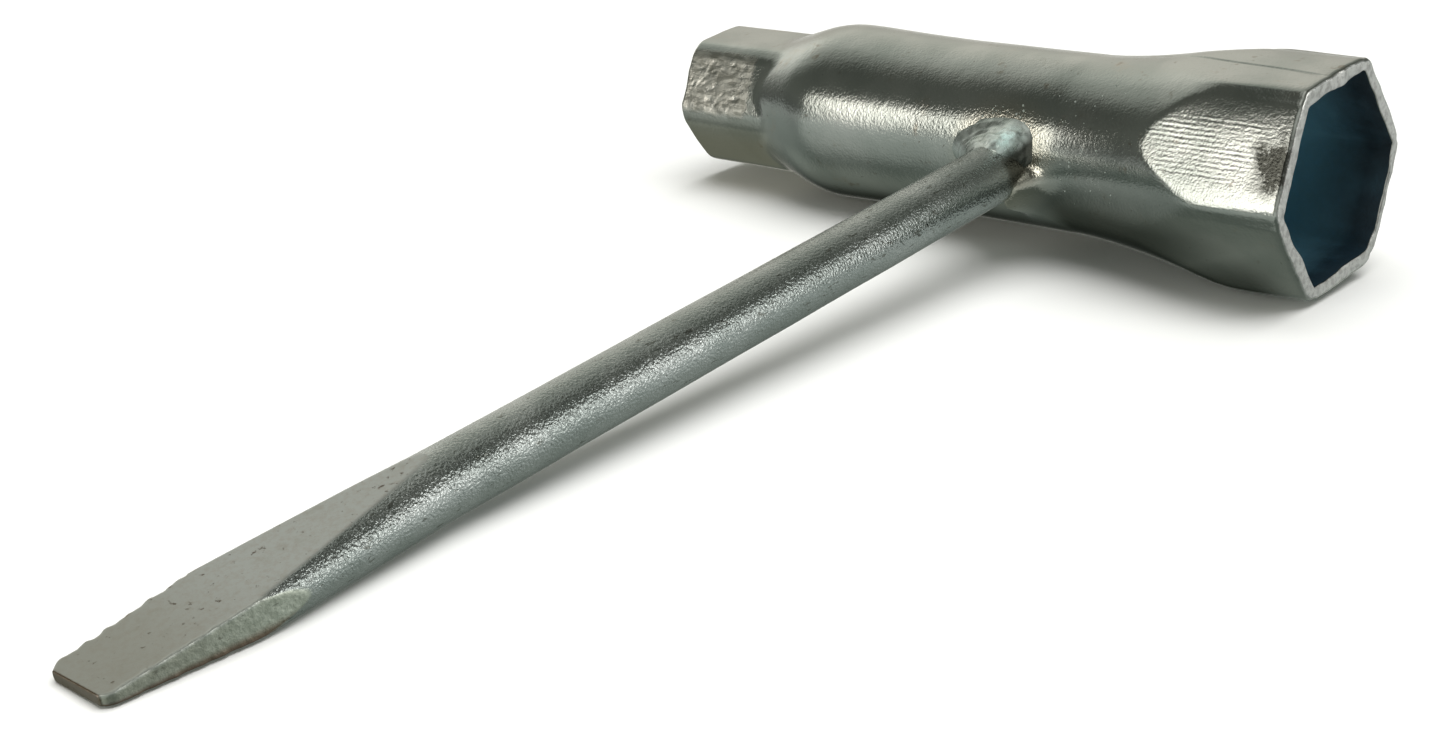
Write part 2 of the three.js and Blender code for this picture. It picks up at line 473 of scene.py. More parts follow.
class GeometryTree(NodeMaker):
    """A Geometry Nodes tree with named inputs that ends in Realize Instances and Set Material."""

    def __init__(self, name: str, sizes: tuple[str, ...]) -> None:
        """Makes the tree's inputs.

        Args:
            name: The tree's name.
            sizes: Names of its number inputs, which come between the geometry and the seed and material.
        """
        super().__init__(bpy.data.node_groups.new(name, "GeometryNodeTree"))
        interface = self.tree.interface
        numbers = dict.fromkeys(sizes, "Float")
        inputs = {"Geometry": "Geometry", **numbers, "Seed": "Int", "Material": "Material"}
        for socket, kind in inputs.items():
            interface.new_socket(socket, in_out="INPUT", socket_type="NodeSocket" + kind)
        interface.new_socket("Geometry", in_out="OUTPUT", socket_type="NodeSocketGeometry")
        self.source = self.add("NodeGroupInput").outputs

    def value(self, mask: Mask) -> Socket:
        """The value that a mesh carries at its points."""
        node = self.add("GeometryNodeInputNamedAttribute", {"data_type": "FLOAT"}, Name=mask.value)
        return node.outputs["Attribute"]

    def close(self, geometry: Socket) -> None:
        """Realizes and dresses the geometry, and sends it out.

        Args:
            geometry: What the tree has made.
        """
        real = self.add("GeometryNodeRealizeInstances", Geometry=geometry).outputs[0]
        dressed = self.add("GeometryNodeSetMaterial", Geometry=real, Material=self.source["Material"])
        self.add("NodeGroupOutput", i0=dressed.outputs[0])

    def apply(self, piece: Piece, **values: object) -> None:
        """Turns a piece into the plain mesh that the tree makes of it.

        Args:
            piece: The object whose mesh goes in.
            **values: The named inputs, with spaces as underscores.
        """
        modifier = piece.modifiers.new(self.tree.name, "NODES")
        modifier.node_group = self.tree
        sockets = {s.name: s.identifier for s in self.tree.interface.items_tree if s.in_out == "INPUT"}
        for name, value in values.items():
            modifier[sockets[name.replace("_", " ")]] = value
        graph = bpy.context.evaluated_depsgraph_get()
        made = bpy.data.meshes.new_from_object(
            piece.evaluated_get(graph), preserve_all_data_layers=True, depsgraph=graph
        )
        piece.modifiers.remove(modifier)
        made.name = piece.name
        piece.data = made


@dataclass(frozen=True)
class Ridges:
    """Rows of ridges: their pitch and height, how many pitches they wander, and over what length."""

    pitch: float
    height: float
    wander: float
    wander_length: float


class RowTree(GeometryTree):
    """Raises even rows of fine ridges on a mesh: die marks, shear marks or the ripples of a weld."""

    wander: Grain = Grain(1.0, 2.0, 0.5)
    uneven: Patches = Patches(1.3, 2.0, 0.5, 0.35, 0.65, least=0.35)

    def __init__(self) -> None:
        """Builds the tree."""
        super().__init__("ridge_rows", ("Pitch", "Height", "Wander", "Wander Length"))
        along = self.math("DIVIDE", self.value(Mask.ROW_ALONG), self.source["Wander Length"])
        across = self.math("DIVIDE", self.value(Mask.ROW_ACROSS), self.source["Pitch"])
        where = self.add("ShaderNodeCombineXYZ", X=along, Y=across, Z=self.source["Seed"]).outputs[0]
        wander = self.math("SUBTRACT", self.noise(where, self.wander), 0.5)
        phase = self.math("MULTIPLY_ADD", wander, self.source["Wander"], across)
        wave = self.math("COSINE", self.times(phase, TAU))
        uneven = self.patches(where, self.uneven)
        height = self.times(wave, uneven, self.source["Height"], self.value(Mask.ROW_SHARE))
        normal = self.add("GeometryNodeInputNormal").outputs["Normal"]
        offset = self.add("ShaderNodeVectorMath", {"operation": "SCALE"}, i0=normal, Scale=height).outputs[0]
        moved = self.add("GeometryNodeSetPosition", Geometry=self.source["Geometry"], Offset=offset)
        self.close(moved.outputs[0])

    def raise_on(self, piece: Piece, ridges: Ridges, seed: int, finish: Material) -> None:
        """Raises ridges on a piece and gives it a finish.

        Args:
            piece: The piece.
            ridges: The ridges.
            seed: The seed of their unevenness.
            finish: The finish.
        """
        self.apply(piece, Pitch=ridges.pitch, Height=ridges.height * MM, Wander=ridges.wander,
                   Wander_Length=ridges.wander_length, Seed=seed, Material=finish)


class SpeckTree(GeometryTree):
    """Scatters small round specks over a surface, with few large ones among them."""

    fewer_large: float = 3.0
    flatness: float = 0.7

    def __init__(self) -> None:
        """Builds the tree."""
        super().__init__("specks", ("Density", "Smallest", "Largest"))
        source = self.source
        density = self.times(self.value(Mask.DENSITY), source["Density"])
        points = self.add("GeometryNodeDistributePointsOnFaces", Mesh=source["Geometry"], Density=density,
                          Seed=source["Seed"])
        even = self.add("FunctionNodeRandomValue", {"data_type": "FLOAT"}, Seed=source["Seed"]).outputs[1]
        share = self.math("POWER", even, self.fewer_large)
        span = self.math("SUBTRACT", source["Largest"], source["Smallest"])
        size = self.math("MULTIPLY_ADD", share, span, source["Smallest"])
        scale = self.add("ShaderNodeCombineXYZ", X=size, Y=size, Z=self.times(size, self.flatness))
        ball = self.add("GeometryNodeMeshIcoSphere", Radius=1.0, Subdivisions=2)
        round_ball = self.add("GeometryNodeSetShadeSmooth", Geometry=ball.outputs[0])
        placed = self.add("GeometryNodeInstanceOnPoints", Points=points.outputs["Points"],
                          Instance=round_ball.outputs[0], Rotation=points.outputs["Rotation"],
                          Scale=scale.outputs[0])
        self.close(placed.outputs[0])


class Finish(NodeMaker):
    """A material under construction: a Principled surface with layers of colour, roughness and relief."""

    def __init__(self, name: str, **constants: object) -> None:
        """Makes the material.

        Args:
            name: The material's name.
            **constants: Values of the surface that are the same all over, with spaces as underscores.
        """
        self.material = bpy.data.materials.new(name)
        self.material.use_nodes = True
        super().__init__(self.material.node_tree)
        self.surface = self.add("ShaderNodeBsdfPrincipled", **constants)
        self.add("ShaderNodeOutputMaterial", Surface=self.surface.outputs[0])
        self.colour: Socket | None = None
        self.roughness: Socket | None = None
        self.normal: Socket | None = None

    def stretched(self, place: Socket, scale: Direction) -> Socket:
        """A place whose three numbers are multiplied."""
        return self.add("ShaderNodeMapping", Vector=place, Scale=scale).outputs[0]

    def millimetres(self) -> Socket:
        """The place on the piece, in millimetres."""
        return self.stretched(self.add("ShaderNodeTexCoord").outputs["Object"], (1 / MM,) * 3)

    def mask(self, mask: Mask) -> Socket:
        """A value that the mesh carries at its points."""
        return self.add("ShaderNodeAttribute", {"attribute_name": mask.value}).outputs["Fac"]

    def mix(self, share: Socket, a: Tint, b: Tint) -> Socket:
        """A blend of two colours."""
        a, b = ((*colour, 1.0) if isinstance(colour, tuple) else colour for colour in (a, b))
        return self.add("ShaderNodeMix", {"data_type": "RGBA"}, i0=share, i6=a, i7=b).outputs[2]

    def blend(self, share: Socket, a: Number, b: Number) -> Socket:
        """A blend of two numbers."""
        return self.add("ShaderNodeMix", {"data_type": "FLOAT"}, i0=share, i2=a, i3=b).outputs[0]

    def tint(self, share: Socket, colour: Tint, *factors: Number) -> None:
        """Lays a colour over the others, by a share that factors make smaller."""
        self.colour = self.mix(self.times(share, *factors), self.colour, colour)

    def dull(self, share: Socket, roughness: float) -> None:
        """Takes the roughness towards another one by a share."""
        self.roughness = self.blend(share, self.roughness, roughness)

    def emboss(self, place: Socket, kind: Relief, share: Socket | None = None) -> None:
        """Adds relief.

        Args:
            place: The place that the noise reads.
            kind: The relief.
            share: Where it is; it fades to level ground where the share ends.
        """
        height = self.noise(place, kind)
        if share is not None:
            height = self.times(self.math("SUBTRACT", height, 0.5), share)
        node = self.add("ShaderNodeBump", Strength=1.0, Distance=kind.depth * MM, Height=height)
        if self.normal is not None:
            self.feed(node.inputs["Normal"], self.normal)
        self.normal = node.outputs[0]

    def wear(self) -> Material:
        """Puts the layers on the surface.

        Returns:
            The finished material.
        """
        layers = {"Base Color": self.colour, "Roughness": self.roughness, "Normal": self.normal}
        for name, layer in layers.items():
            self.feed(self.surface.inputs[name], layer)
        return self.material


@dataclass(frozen=True)
class TubePlating:
    """Bright zinc plate on smooth drawn tube, with a sawn rim and a scuffed flat; painted shade and a painted
    brown reflection tint on the downward-facing sides, and painted dark reflection patches.
    """

    name: str = "bright_zinc_tube"
    light: Colour = (0.66, 0.675, 0.645)
    dark: Colour = (0.53, 0.56, 0.53)
    warm: Colour = (0.6, 0.55, 0.47)
    heat: Colour = (0.68, 0.62, 0.5)
    cut: Colour = (0.93, 0.905, 0.885)
    burr: Colour = (0.66, 0.635, 0.62)
    speck: Colour = (0.2, 0.17, 0.13)
    dark_reflection: Colour = (0.05, 0.051, 0.042)
    untinted: Colour = (1.0, 1.0, 1.0)
    underside_shade: Colour = (0.09, 0.095, 0.083)
    scuff: Colour = (0.76, 0.745, 0.685)
    pit: Colour = (0.4, 0.395, 0.35)
    underside_cast: Colour = (0.62, 0.53, 0.38)
    smudge: Colour = (0.3, 0.25, 0.19)
    clouds: Patches = Patches(0.12, 3.0, 0.5, 0.35, 0.65)
    stains: Patches = Patches(0.2, 4.0, 0.7, 0.58, 0.78, most=0.55)
    smudges: Patches = Patches(0.4, 4.0, 0.6, 0.63, 0.73, most=0.5)
    specks: Patches = Patches(3.1, 1.0, 0.5, 0.76, 0.8, most=0.7)
    dark_reflection_grain: Patches = Patches(2.4, 4.0, 0.65, 0.32, 0.6, least=0.45)
    pits: Patches = Patches(1.0, 3.0, 0.6, 0.38, 0.58)
    burrs: Patches = Patches(1.3, 4.0, 0.65, 0.36, 0.6)
    gloss: Patches = Patches(0.5, 5.0, 0.65, 0.3, 0.7, least=0.05, most=0.115)
    scuff_stretch: Direction = (0.4, 1.5, 1.5)
    scuff_edge: Grain = Grain(0.9, 3.0, 0.6)
    scuff_swing: float = 1.3
    scuff_shift: float = -0.75
    scuff_span: Span = (0.1, 1.1)
    heat_share: float = 0.6
    dark_reflection_share: float = 0.95
    underside_cast_share: float = 0.6
    dark_reflection_roughness: float = 0.3
    scuffed_roughness: float = 0.38
    fretted_roughness: float = 0.15
    cut_roughness: float = 0.42
    worn_roughness: float = 0.2
    grain: Relief = Relief(3.6, 3.0, 0.6, 0.026)
    orange_peel: Relief = Relief(1.9, 2.0, 0.6, 0.0145)
    waves: Relief = Relief(0.7, 2.0, 0.5, 0.02)
    scratches: Relief = Relief(1.2, 3.0, 0.6, 0.045)
    saw_marks: Relief = Relief(3.4, 3.0, 0.5, 0.07)
    fretting: Relief = Relief(4.4, 2.0, 0.6, 0.015)
    weld_scale: Relief = Relief(4.2, 2.0, 0.5, 0.045)

    def material(self) -> Material:
        """Builds the material.

        Returns:
            The plating.
        """
        made = Finish(self.name, Metallic=1.0)
        place = made.millimetres()
        drawn_out = made.stretched(place, self.scuff_stretch)
        heat, underside_shade, fret, cut = (made.mask(m) for m in (Mask.HEAT, Mask.UNDERSIDE_SHADE, Mask.FRET, Mask.CUT))
        dark_reflection = made.math("MULTIPLY", made.patches(place, self.dark_reflection_grain), made.mask(Mask.DARK_REFLECTION), clamp=True)
        ragged = made.noise(place, self.scuff_edge)
        edge = made.math("MULTIPLY_ADD", ragged, self.scuff_swing, self.scuff_shift)
        scuff = made.step(made.math("ADD", made.mask(Mask.SCUFF), edge), *self.scuff_span)

        made.colour = made.mix(made.patches(place, self.clouds), self.dark, self.light)
        made.tint(made.patches(place, self.stains), self.warm)
        made.tint(heat, self.heat, self.heat_share)
        made.tint(made.patches(place, self.smudges), self.smudge)
        made.tint(made.patches(place, self.specks), self.speck)
        # painted dark reflection: near-black patches at the large mouth and on the flare, with a grainy edge
        made.tint(dark_reflection, self.dark_reflection, self.dark_reflection_share)
        # painted reflection tint: the downward-facing sides of the small socket and barrel turn browner
        made.tint(made.mask(Mask.UNDERSIDE_CAST), self.underside_cast, self.underside_cast_share)
        # painted shade: the lower sides of the barrel and large socket are darkened smoothly
        made.tint(underside_shade, self.underside_shade)
        made.tint(scuff, made.mix(made.patches(drawn_out, self.pits), self.pit, self.scuff))
        made.tint(cut, made.mix(made.patches(place, self.burrs), self.burr, self.cut))
        # the painted underside shade also darkens the specular reflection
        made.feed(made.surface.inputs["Specular Tint"], made.mix(underside_shade, self.untinted, self.underside_shade))

        made.roughness = made.patches(place, self.gloss)
        made.dull(dark_reflection, self.dark_reflection_roughness)
        made.dull(scuff, self.scuffed_roughness)
        made.dull(fret, self.fretted_roughness)
        made.dull(cut, self.cut_roughness)
        made.dull(made.mask(Mask.WORN), self.worn_roughness)

        made.emboss(place, self.grain)
        made.emboss(place, self.orange_peel)
        made.emboss(place, self.waves)
        made.emboss(drawn_out, self.scratches, scuff)
        made.emboss(place, self.saw_marks, cut)
        made.emboss(place, self.fretting, fret)
        made.emboss(place, self.weld_scale, heat)
        return made.wear()


@dataclass(frozen=True)
class BoreShade:
    """The thin, dull, blue-grey plate inside the tube, with painted shade: near-black at the mouths and
    lighter deep inside.
    """

    name: str = "bore_painted_shade"
    metallic: float = 0.1
    deep: Colour = (0.15, 0.38, 0.5)
    mouth: Colour = (0.008, 0.019, 0.028)
    edge: Grain = Grain(0.3, 4.0, 0.5)
    edge_swing: float = 0.2
    edge_shift: float = -0.1
    gloss: Patches = Patches(1.0, 3.0, 0.5, 0.3, 0.7, least=0.5, most=0.65)
    grain: Relief = Relief(2.0, 4.0, 0.5, 0.03)

    def material(self) -> Material:
        """Builds the material.

        Returns:
            The plating.
        """
        made = Finish(self.name, Metallic=self.metallic)
        place = made.millimetres()
        edge = made.math("MULTIPLY_ADD", made.noise(place, self.edge), self.edge_swing, self.edge_shift)
        depth = made.math("ADD", made.mask(Mask.DEPTH), edge, clamp=True)
        # painted shade and light: near-black at the mouths where light falls in, lighter blue deep inside
        # where it doesn't
        made.colour = made.mix(depth, self.mouth, self.deep)
        made.roughness = made.patches(place, self.gloss)
        made.emboss(place, self.grain)
        return made.wear()


@dataclass(frozen=True)
class RodPlating:
    """Zinc plate on a finely pebbled rod, with satin pressed flats and rust specks, painted shade where the
    weld ends, and worn edges lightened as painted glints.
    """

    name: str = "pebbled_zinc_rod"
    light: Colour = (0.64, 0.67, 0.655)
    dark: Colour = (0.5, 0.54, 0.52)
    satin: Colour = (0.64, 0.66, 0.645)
    sheared: Colour = (0.8, 0.84, 0.73)
    torn: Colour = (0.6, 0.64, 0.54)
    edge: Colour = (0.88, 0.9, 0.85)
    dark_tone: Colour = (0.42, 0.4, 0.33)
    blotch: Colour = (0.5, 0.43, 0.37)
    rust: Colour = (0.21, 0.12, 0.07)
    pocket_shade: Colour = (0.2, 0.2, 0.175)
    fleck: Colour = (0.16, 0.16, 0.13)
    clouds: Patches = Patches(0.15, 3.0, 0.5, 0.35, 0.65)
    mottle: Patches = Patches(1.5, 4.0, 0.65, 0.36, 0.62)
    fleck_stretch: Direction = (1.7, 0.6, 1.7)
    flecks: Patches = Patches(1.0, 3.0, 0.6, 0.63, 0.69, most=0.65)
    spots: Patches = Patches(1.3, 4.0, 0.65, 0.62, 0.7)
    stains: Patches = Patches(0.45, 5.0, 0.7, 0.5, 0.75, most=0.35)
    blotches: Patches = Patches(1.7, 5.0, 0.75, 0.42, 0.68, most=0.34)
    gloss: Patches = Patches(0.8, 4.0, 0.5, 0.3, 0.7, least=0.1, most=0.15)
    spot_share: float = 0.6
    tip_share: float = 0.5
    worn_edge_glint_share: float = 0.7
    rust_share: float = 0.85
    pressed_roughness: float = 0.46
    sheared_roughness: float = 0.4
    rusted_roughness: float = 0.8
    worn_roughness: float = 0.45
    pebbles: Relief = Relief(3.8, 2.0, 0.5, 0.108)
    grain: Relief = Relief(6.0, 3.0, 0.6, 0.006)
    tears: Relief = Relief(2.2, 3.0, 0.6, 0.06)

    def material(self) -> Material:
        """Builds the material.

        Returns:
            The plating.
        """
        made = Finish(self.name, Metallic=1.0)
        place = made.millimetres()
        drawn_out = made.stretched(place, self.fleck_stretch)
        pressed, sheared, worn = (made.mask(m) for m in (Mask.PRESSED, Mask.SHEARED, Mask.WORN))
        plain = made.math("SUBTRACT", 1.0, pressed, clamp=True)
        spots = made.times(made.patches(place, self.spots), pressed)

        made.colour = made.mix(made.patches(place, self.clouds), self.dark, self.light)
        made.tint(pressed, self.satin)
        made.tint(sheared, made.mix(made.patches(place, self.mottle), self.torn, self.sheared))
        made.tint(made.patches(drawn_out, self.flecks), self.fleck, plain)
        made.tint(made.patches(place, self.stains), self.dark_tone, pressed)
        made.tint(made.patches(place, self.blotches), self.blotch, pressed)
        made.tint(spots, self.rust, self.spot_share)
        made.tint(made.mask(Mask.TIP), self.dark_tone, self.tip_share)
        # painted shade: the rod goes dark in the pocket where the weld ends
        made.tint(made.mask(Mask.BURN), self.pocket_shade)
        # worn bare edges, lightened further as painted glints
        made.tint(worn, self.edge, self.worn_edge_glint_share)
        made.tint(made.mask(Mask.RUST), self.rust, self.rust_share)

        made.roughness = made.patches(place, self.gloss)
        made.dull(pressed, self.pressed_roughness)
        made.dull(sheared, self.sheared_roughness)
        made.dull(spots, self.rusted_roughness)
        made.dull(worn, self.worn_roughness)

        untouched = made.math("SUBTRACT", 1.0, made.math("MAXIMUM", sheared, worn), clamp=True)
        made.emboss(place, self.pebbles, made.times(plain, untouched))
        made.emboss(place, self.grain)
        made.emboss(place, self.tears, sheared)
        return made.wear()


@dataclass(frozen=True)
class WeldPlating:
    """Zinc plate over a weld bead, with a green cast and painted shade over its end on the large socket's
    side.
    """

    name: str = "zinc_on_weld"
    light: Colour = (0.8, 0.85, 0.82)
    dark: Colour = (0.6, 0.65, 0.61)
    core: Colour = (0.58, 0.77, 0.73)
    pocket_shade: Colour = (0.1, 0.1, 0.085)
    clouds: Patches = Patches(0.6, 4.0, 0.6, 0.35, 0.62)
    core_patches: Patches = Patches(1.1, 3.0, 0.6, 0.36, 0.56, least=0.35)
    gloss: Patches = Patches(1.2, 3.0, 0.5, 0.3, 0.7, least=0.22, most=0.36)
    core_metallic: float = 0.35
    pocket_shade_share: float = 0.95
    lumps: Relief = Relief(1.8, 3.0, 0.5, 0.05)

    def material(self) -> Material:
        """Builds the material.

        Returns:
            The plating.
        """
        made = Finish(self.name)
        place = made.millimetres()
        core = made.times(made.mask(Mask.CORE), made.patches(place, self.core_patches))
        made.colour = made.mix(made.patches(place, self.clouds), self.dark, self.light)
        made.tint(core, self.core)
        # painted shade: the bead darkens towards its end on the large socket's side
        made.tint(made.mask(Mask.BURN), self.pocket_shade, self.pocket_shade_share)
        made.feed(made.surface.inputs["Metallic"], made.blend(core, 1.0, self.core_metallic))
        made.roughness = made.patches(place, self.gloss)
        made.emboss(place, self.lumps)
        return made.wear()


@dataclass
class SocketTube:
    """The swaged tube: a large and a small hexagon socket on a round barrel."""

    name: str = "swaged_tube"
    node: str = "socket_tube"
    length: float = 84.3
    barrel_diameter: float = 19.6
    barrel_wall: float = 1.5
    mouth_to_rod: float = 34.5
    shoulder_swell: float = 0.45
    swell_length: float = 18.0
    large_nut: float = 19.0
    large_wall: float = 1.65
    large_corner: float = 2.4
    corner_softening: float = -0.8
    softening_depths: Span = (1.0, 8.0)
    large_flat_length: float = 16.5
    flare_length: float = 12.0
    flare_power: float = 1.5
    flare_blend: float = 0.4
    mark_blend: float = 0.1
    mark_blend_angles: Span = (0.5, 0.4)
    small_nut: float = 13.0
    small_wall: float = 1.2
    small_corner: float = 3.0
    small_flat_length: float = 13.2
    neck_step: float = 0.33
    neck_length: float = 6.8
    neck_blend: float = 0.75
    step_blend: float = 0.3
    nut_clearance: float = 0.2
    inside_corner: float = 0.4
    rim_round: float = 0.45
    rim_turns: tuple[float, ...] = (22, 45, 68, 90)
    rim_face_shares: tuple[float, ...] = (0.35, 0.6, 0.85)
    rim_inner_round: float = 0.12
    rim_inner_turns: tuple[float, ...] = (90, 45)
    rim_wave: float = 0.16
    rim_waves: Wobble = Wobble(5, 5.0)
    rim_wave_depth: float = 3.0
    rim_thinning: float = 0.5
    thin_flat: int = 4
    thin_angles: Span = (0.5, 0.3)
    rim_lumps: float = 0.15
    lump_waves: Wobble = Wobble(8, 5.0)
    lump_radius: float = 11.0
    lump_depth: float = 5.0
    crown_shift: float = 0.9
    crown_flat: float = 2.4
    crown_radius: float = 28.0
    small_crown_radius: float = 80.0
    skin_wave: float = 0.022
    skin_waves: Wobble = Wobble(3, 11.0)
    skin_wave_heights: Span = (-9.0, -7.0)
    mark_flats: tuple[int, ...] = (1, 4)
    mark_half_width: float = 3.3
    mark_start: float = 0.4
    mark_end: float = 31.8
    mark_ridges: Ridges = Ridges(pitch=0.5, height=0.009, wander=0.16, wander_length=14.0)
    mark_seed: int = 4
    mark_fade: float = 0.5
    mark_end_fade: Span = (0.8, -0.6)
    mark_side_fade: float = 0.25
    mark_patches: Wobble = Wobble(17, 5.0)
    mark_patch_stretch: tuple[float, float] = (0.6, 1.5)
    mark_patch_limits: Span = (-0.9, 0.5)
    mark_least: float = 0.35
    fret_fade: float = 0.6
    fret_middle: float = 0.8
    fret_widths: Span = (5.6, 4.4)
    seam_depth: float = 0.12
    seam_width: float = 0.16
    seam_radius: float = 10.78
    seam_start: float = 17.0
    seam_shift: float = -0.6
    seam_lean: float = 0.11
    seam_wave: float = 0.1
    seam_wave_step: float = 2.6
    seam_least: float = 0.25
    seam_clear: tuple[Span, Span] = ((14, 18), (34.2, 33.2))
    seam_fade: Span = (-8, 12)
    scuffed_flat: int = 1
    dent_seed: int = 7
    dent_count: int = 90
    dent_margins: Span = (0.8, 3.2)
    dent_across: Span = (-2.2, 3.2)
    dent_length: Span = (0.3, 0.9)
    dent_width: Span = (0.15, 0.28)
    dent_lean: float = 0.5
    dent_depth: Span = (0.012, 0.03)
    rod_radius: float = 3.25
    apron_height: float = 2.4
    apron_width: float = 1.8
    apron_power: float = 1.5
    apron_start: Span = (76, 108)
    apron_end: Span = (180, 150)
    weld_angle: float = math.radians(81)
    heat_distances: Span = (8.0, 3.2)
    scuff_widths: Span = (4.0, 3.0)
    scuff_depths: Span = (1.4, 3.0)
    cut_inset: float = 0.1
    worn_insets: tuple[Span, Span] = ((0.0, 0.12), (0.4, 0.3))
    bore_depths: Span = (1.0, 15.0)
    dark_reflection_flat: int = 1
    dark_reflection_edge: Wobble = Wobble(19, 2.4)
    # patches of painted dark reflection on the flat beside the rod
    dark_reflection_patches: tuple[ShadePatch, ...] = (
        ShadePatch(33.3, 0.7, 1.7, 1.8, (2.0, 0.4), 1.75, ragged=0.3),
        ShadePatch(11.5, 0.6, 5.5, 4.2, (1.3, 0.6), 0.2),
    )
    # painted reflection tint on the downward-facing sides of the small socket and barrel
    underside_cast_bands: tuple[ShadeBand, ...] = (
        ShadeBand((0.25, -0.55), (-60, -50), (-31.6, -39.6)),
        ShadeBand((-0.6, -0.9), (-60, -50), (12, 0)),
    )
    # painted shade on the lower sides of the barrel and large socket
    underside_shade_bands: tuple[ShadeBand, ...] = (
        ShadeBand((-0.35, -0.85), (-38, -32), (35, 28), 0.78),
        ShadeBand((0.1, -0.45), (2, 7), (32, 18), 0.75),
    )
    columns: int = 310
    mark_columns: float = 4.0
    dense_marks: Span = (0.36, 0.28)
    seam_columns: float = 6.0
    dense_seam: Span = (0.12, 0.08)
    small_rows: float = 7.4
    dense_small: Span = (1.5, 0.5)
    neck_rows: float = 1.8
    dense_neck: Span = (9.0, 7.0)
    flare_rows: float = 1.2
    dense_flare: Span = (7.0, 9.0)
    apron_rows: float = 2.4
    dense_apron: tuple[Span, Span] = ((1.0, 2.0), (9.0, 8.0))
    outer_rows: int = 256
    bore_rows: int = 38

    @property
    def large_mouth(self) -> float:
        """Place of the large rim along the tube."""
        return self.mouth_to_rod

    @property
    def small_mouth(self) -> float:
        """Place of the small rim along the tube."""
        return self.mouth_to_rod - self.length

    @property
    def large_flat_end(self) -> float:
        """Where the large flats meet the flare, along their middles."""
        return self.large_mouth - self.large_flat_length

    @property
    def small_flat_end(self) -> float:
        """Where the small flats meet the neck."""
        return self.small_mouth + self.small_flat_length

    @property
    def barrel_radius(self) -> float:
        """Outside radius of the barrel."""
        return self.barrel_diameter / 2

    @staticmethod
    def hexagon(across: float, corner: float | Array, angle: Array) -> Array:
        """Distance from the axis to a hexagon with rounded corners.

        Args:
            across: Width across the flats.
            corner: Radius of the corners.
            angle: Angles from the middle of a flat.

        Returns:
            The distances.
        """
        half = across / 2
        from_corner = SIXTH / 2 - np.abs(angle)
        centre = (half - corner) / math.cos(SIXTH / 2)
        arc_end = np.arctan2(corner * math.sin(SIXTH / 2), centre + corner * math.cos(SIXTH / 2))
        under_root = np.clip(corner**2 - (centre * np.sin(from_corner)) ** 2, 0, None)
        arc = centre * np.cos(from_corner) + np.sqrt(under_root)
        return np.where(from_corner >= arc_end, half / np.cos(angle), arc)

    def near_marks(self, around: Array, angles: Span) -> Array:
        """1 at the middles of the marked flats, and 0 from the first of two angles off them."""
        return sum(ramp(np.abs(off_flat(around, flat)), *angles) for flat in self.mark_flats)

    def skin(self, at: TubePlaces, inner: bool) -> Array:
        """Distance from the axis to the outside or the bore.

        Args:
            at: Places on the tube.
            inner: Whether it is the bore.

        Returns:
            The distances.
        """
        x = at.x
        angle = (at.around + SIXTH / 2) % SIXTH - SIXTH / 2
        large = self.large_nut + self.nut_clearance + (0 if inner else 2 * self.large_wall)
        small = self.small_nut + self.nut_clearance + (0 if inner else 2 * self.small_wall)
        barrel = self.barrel_radius - (self.barrel_wall if inner else 0)
        softened = ramp(self.large_mouth - x, *self.softening_depths)
        softer = self.large_corner + self.corner_softening * softened
        large_hexagon = self.hexagon(large, self.inside_corner if inner else softer, angle)
        small_hexagon = self.hexagon(small, self.inside_corner if inner else self.small_corner, angle)
        if not inner:
            small_hexagon = small_hexagon - (np.tan(angle) * small / 2) ** 2 / (2 * self.small_crown_radius)
            across = np.abs(np.tan(angle) * large / 2 - self.crown_shift)
            crown = np.clip(across - self.crown_flat, 0, None) ** 2 / (2 * self.crown_radius)
            large_hexagon = large_hexagon - crown

        shoulder = self.small_flat_end + self.neck_length
        round_part = barrel + self.shoulder_swell * ramp(x, shoulder + self.swell_length, shoulder)
        neck_start = small / 2 + self.neck_step
        slope = (barrel + self.shoulder_swell - neck_start) / self.neck_length
        cone = neck_start + slope * (x - self.small_flat_end)
        neck = smooth_min(cone, round_part, self.neck_blend)
        small_side = -smooth_min(-small_hexagon, -neck, self.step_blend)

        flare_start = self.large_flat_end - self.flare_length
        opened = np.clip((x - flare_start) / self.flare_length, 0, None) ** self.flare_power
        trumpet = round_part + (large / 2 - barrel) * opened
        crisp = self.near_marks(at.around, self.mark_blend_angles)
        blend = self.flare_blend + (self.mark_blend - self.flare_blend) * crisp
        large_side = smooth_min(large_hexagon, trumpet, blend)
        return np.where(x < -self.swell_length, small_side, large_side)

    def column_density(self, around: Array) -> Array:
        """Wanted columns at angles round the tube: more on the marked flats and at the seam."""
        marks = self.mark_columns * self.near_marks(around, self.dense_marks)
        return 1 + marks + self.seam_columns * ramp(np.abs(off_flat(around, 0)), *self.dense_seam)

    def row_density(self, x: Array) -> Array:
        """Wanted rows along the tube: more on the small socket, the neck, the flare and beside the rod.

        Args:
            x: Places along the tube.

        Returns:
            Rows per length, up to a factor.
        """
        past_flats = x - self.small_flat_end
        small = self.small_rows * ramp(past_flats, *self.dense_small)
        neck = self.neck_rows * ramp(past_flats, *self.dense_neck)
        flare = self.flare_rows * ramp(x, *self.dense_flare)
        start, end = self.dense_apron
        apron = self.apron_rows * (ramp(x, *start) * ramp(x, *end))
        return 1 + small + neck + flare + apron

